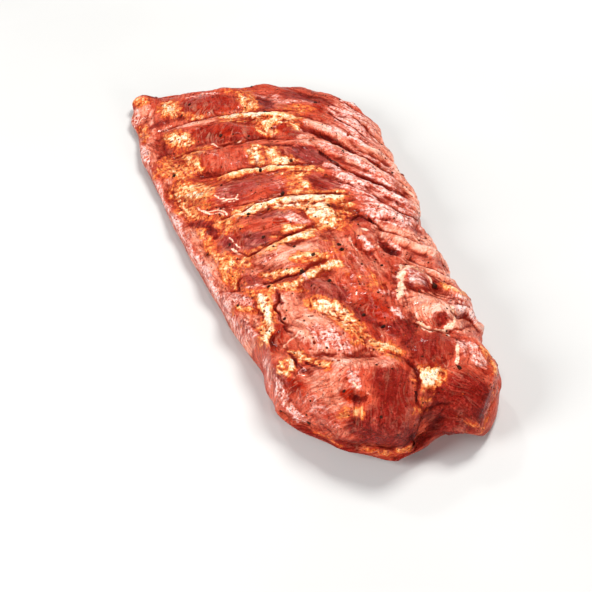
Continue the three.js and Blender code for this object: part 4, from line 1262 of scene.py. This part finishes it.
stage = {
    "floor": tone(204, 204, 204),
    "floorClouds": 0.94,  # how light the darker places of the floor are
    "floorRoughness": 0.7,
    "floorSize": 6.0,
    "world": (0.95, 0.95, 1.0),
    "worldStrength": 0.17,
    # name: place, aimed at, size, power in watts, colour, whether the wet meat mirrors it
    "lights": {
        "backSoft": ((0.3, 1.1, 0.95), (0, 0, 0), 0.3, 0.7, (0.95, 0.97, 1), True),
        "keyTop": ((0.45, 0.3, 1.1), (0, 0, 0), 0.5, 15.8, (1, 0.99, 0.95), False),
        "glints": ((-0.15, 0.8, 0.9), (0, 0, 0), 0.13, 2.4, (1, 0.98, 0.95), True),
        "fillFrontLeft": ((-0.9, -0.35, 0.6), (0, 0, 0), 0.55, 12, (1, 0.99, 0.97), False),
        "fillFront": ((0.35, -1.2, 0.4), (0, 0, 0), 0.4, 8, (1, 0.99, 0.97), False),
    },
}


def makeFloor():
    kit = ShaderKit("paleFloor")
    cloudy = kit.step(kit.noise(kit.place(), 0.004, 3, 0.5), -0.6, 0.6)
    dark = tuple(stage["floorClouds"] * share for share in stage["floor"][:3]) + (1.0,)
    colour = kit.mix(cloudy, dark, stage["floor"])
    material = kit.finish({"Base Color": colour, "Roughness": stage["floorRoughness"]})
    half = stage["floorSize"] / 2
    points = [(-half, -half, 0), (half, -half, 0), (half, half, 0), (-half, half, 0)]
    floor = meshFrom("floor", points, [[0, 1, 2, 3]], material)


def makeLights():
    world = bpy.data.worlds.new("softStudio")
    world.use_nodes = True
    background = world.node_tree.nodes["Background"]
    background.inputs["Color"].default_value = (*stage["world"], 1)
    background.inputs["Strength"].default_value = stage["worldStrength"]
    bpy.context.scene.world = world
    for name, (place, aim, size, power, colour, mirrored) in stage["lights"].items():
        data = bpy.data.lights.new(name, "AREA")
        data.shape, data.size, data.energy, data.color = "DISK", size, power, colour
        light = bpy.data.objects.new(name, data)
        light.location, light.visible_glossy = place, mirrored
        light.rotation_euler = (Vector(aim) - Vector(place)).to_track_quat("-Z", "Y").to_euler()
        bpy.context.scene.collection.objects.link(light)


def makeCamera():
    heading, roll = math.radians(camera["heading"]), math.radians(camera["roll"])
    forward = Vector(lookDirection())
    level = Vector((math.cos(heading), -math.sin(heading), 0))
    upright = level.cross(forward)
    right = level * math.cos(roll) + upright * math.sin(roll)
    up = right.cross(forward)
    data = bpy.data.cameras.new("camera")
    data.lens, data.sensor_width, data.clip_start = camera["lens"], camera["sensor"], camera["nearest"] * mm
    eye = bpy.data.objects.new("camera", data)
    turned = Matrix((right, up, -forward)).transposed().to_4x4()
    eye.matrix_world = Matrix.Translation(Vector(camera["place"]) * mm) @ turned
    bpy.context.scene.collection.objects.link(eye)
    bpy.context.scene.camera = eye


makeCamera()
makeLights()
makeFloor()
bpy.context.scene.view_settings.view_transform = "Standard"
print("stage set")

meat, skin = shapeMeat()
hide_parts("rack")
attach(meat, "root")
print("meat shaped:", len(meat.data.polygons), "faces")

pepperBlack = crumbMaterial("blackPepper", pepper)
pepperPlaces = [(p, q, size * pepper["largeScale"]) for p, q, size in pepper["large"]]
crumbs = strew("crackedPepper", pepperPlaces + scatter(pepper["fine"]), pepper, skin, pepperBlack)
chilliRed = crumbMaterial("driedChilli", chilli)
flakes = strew("chilliFlakes", scatter(chilli), chilli, skin, chilliRed)
for piece in (crumbs, flakes):
    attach(piece, "root")
print("pepper and chilli strewn")
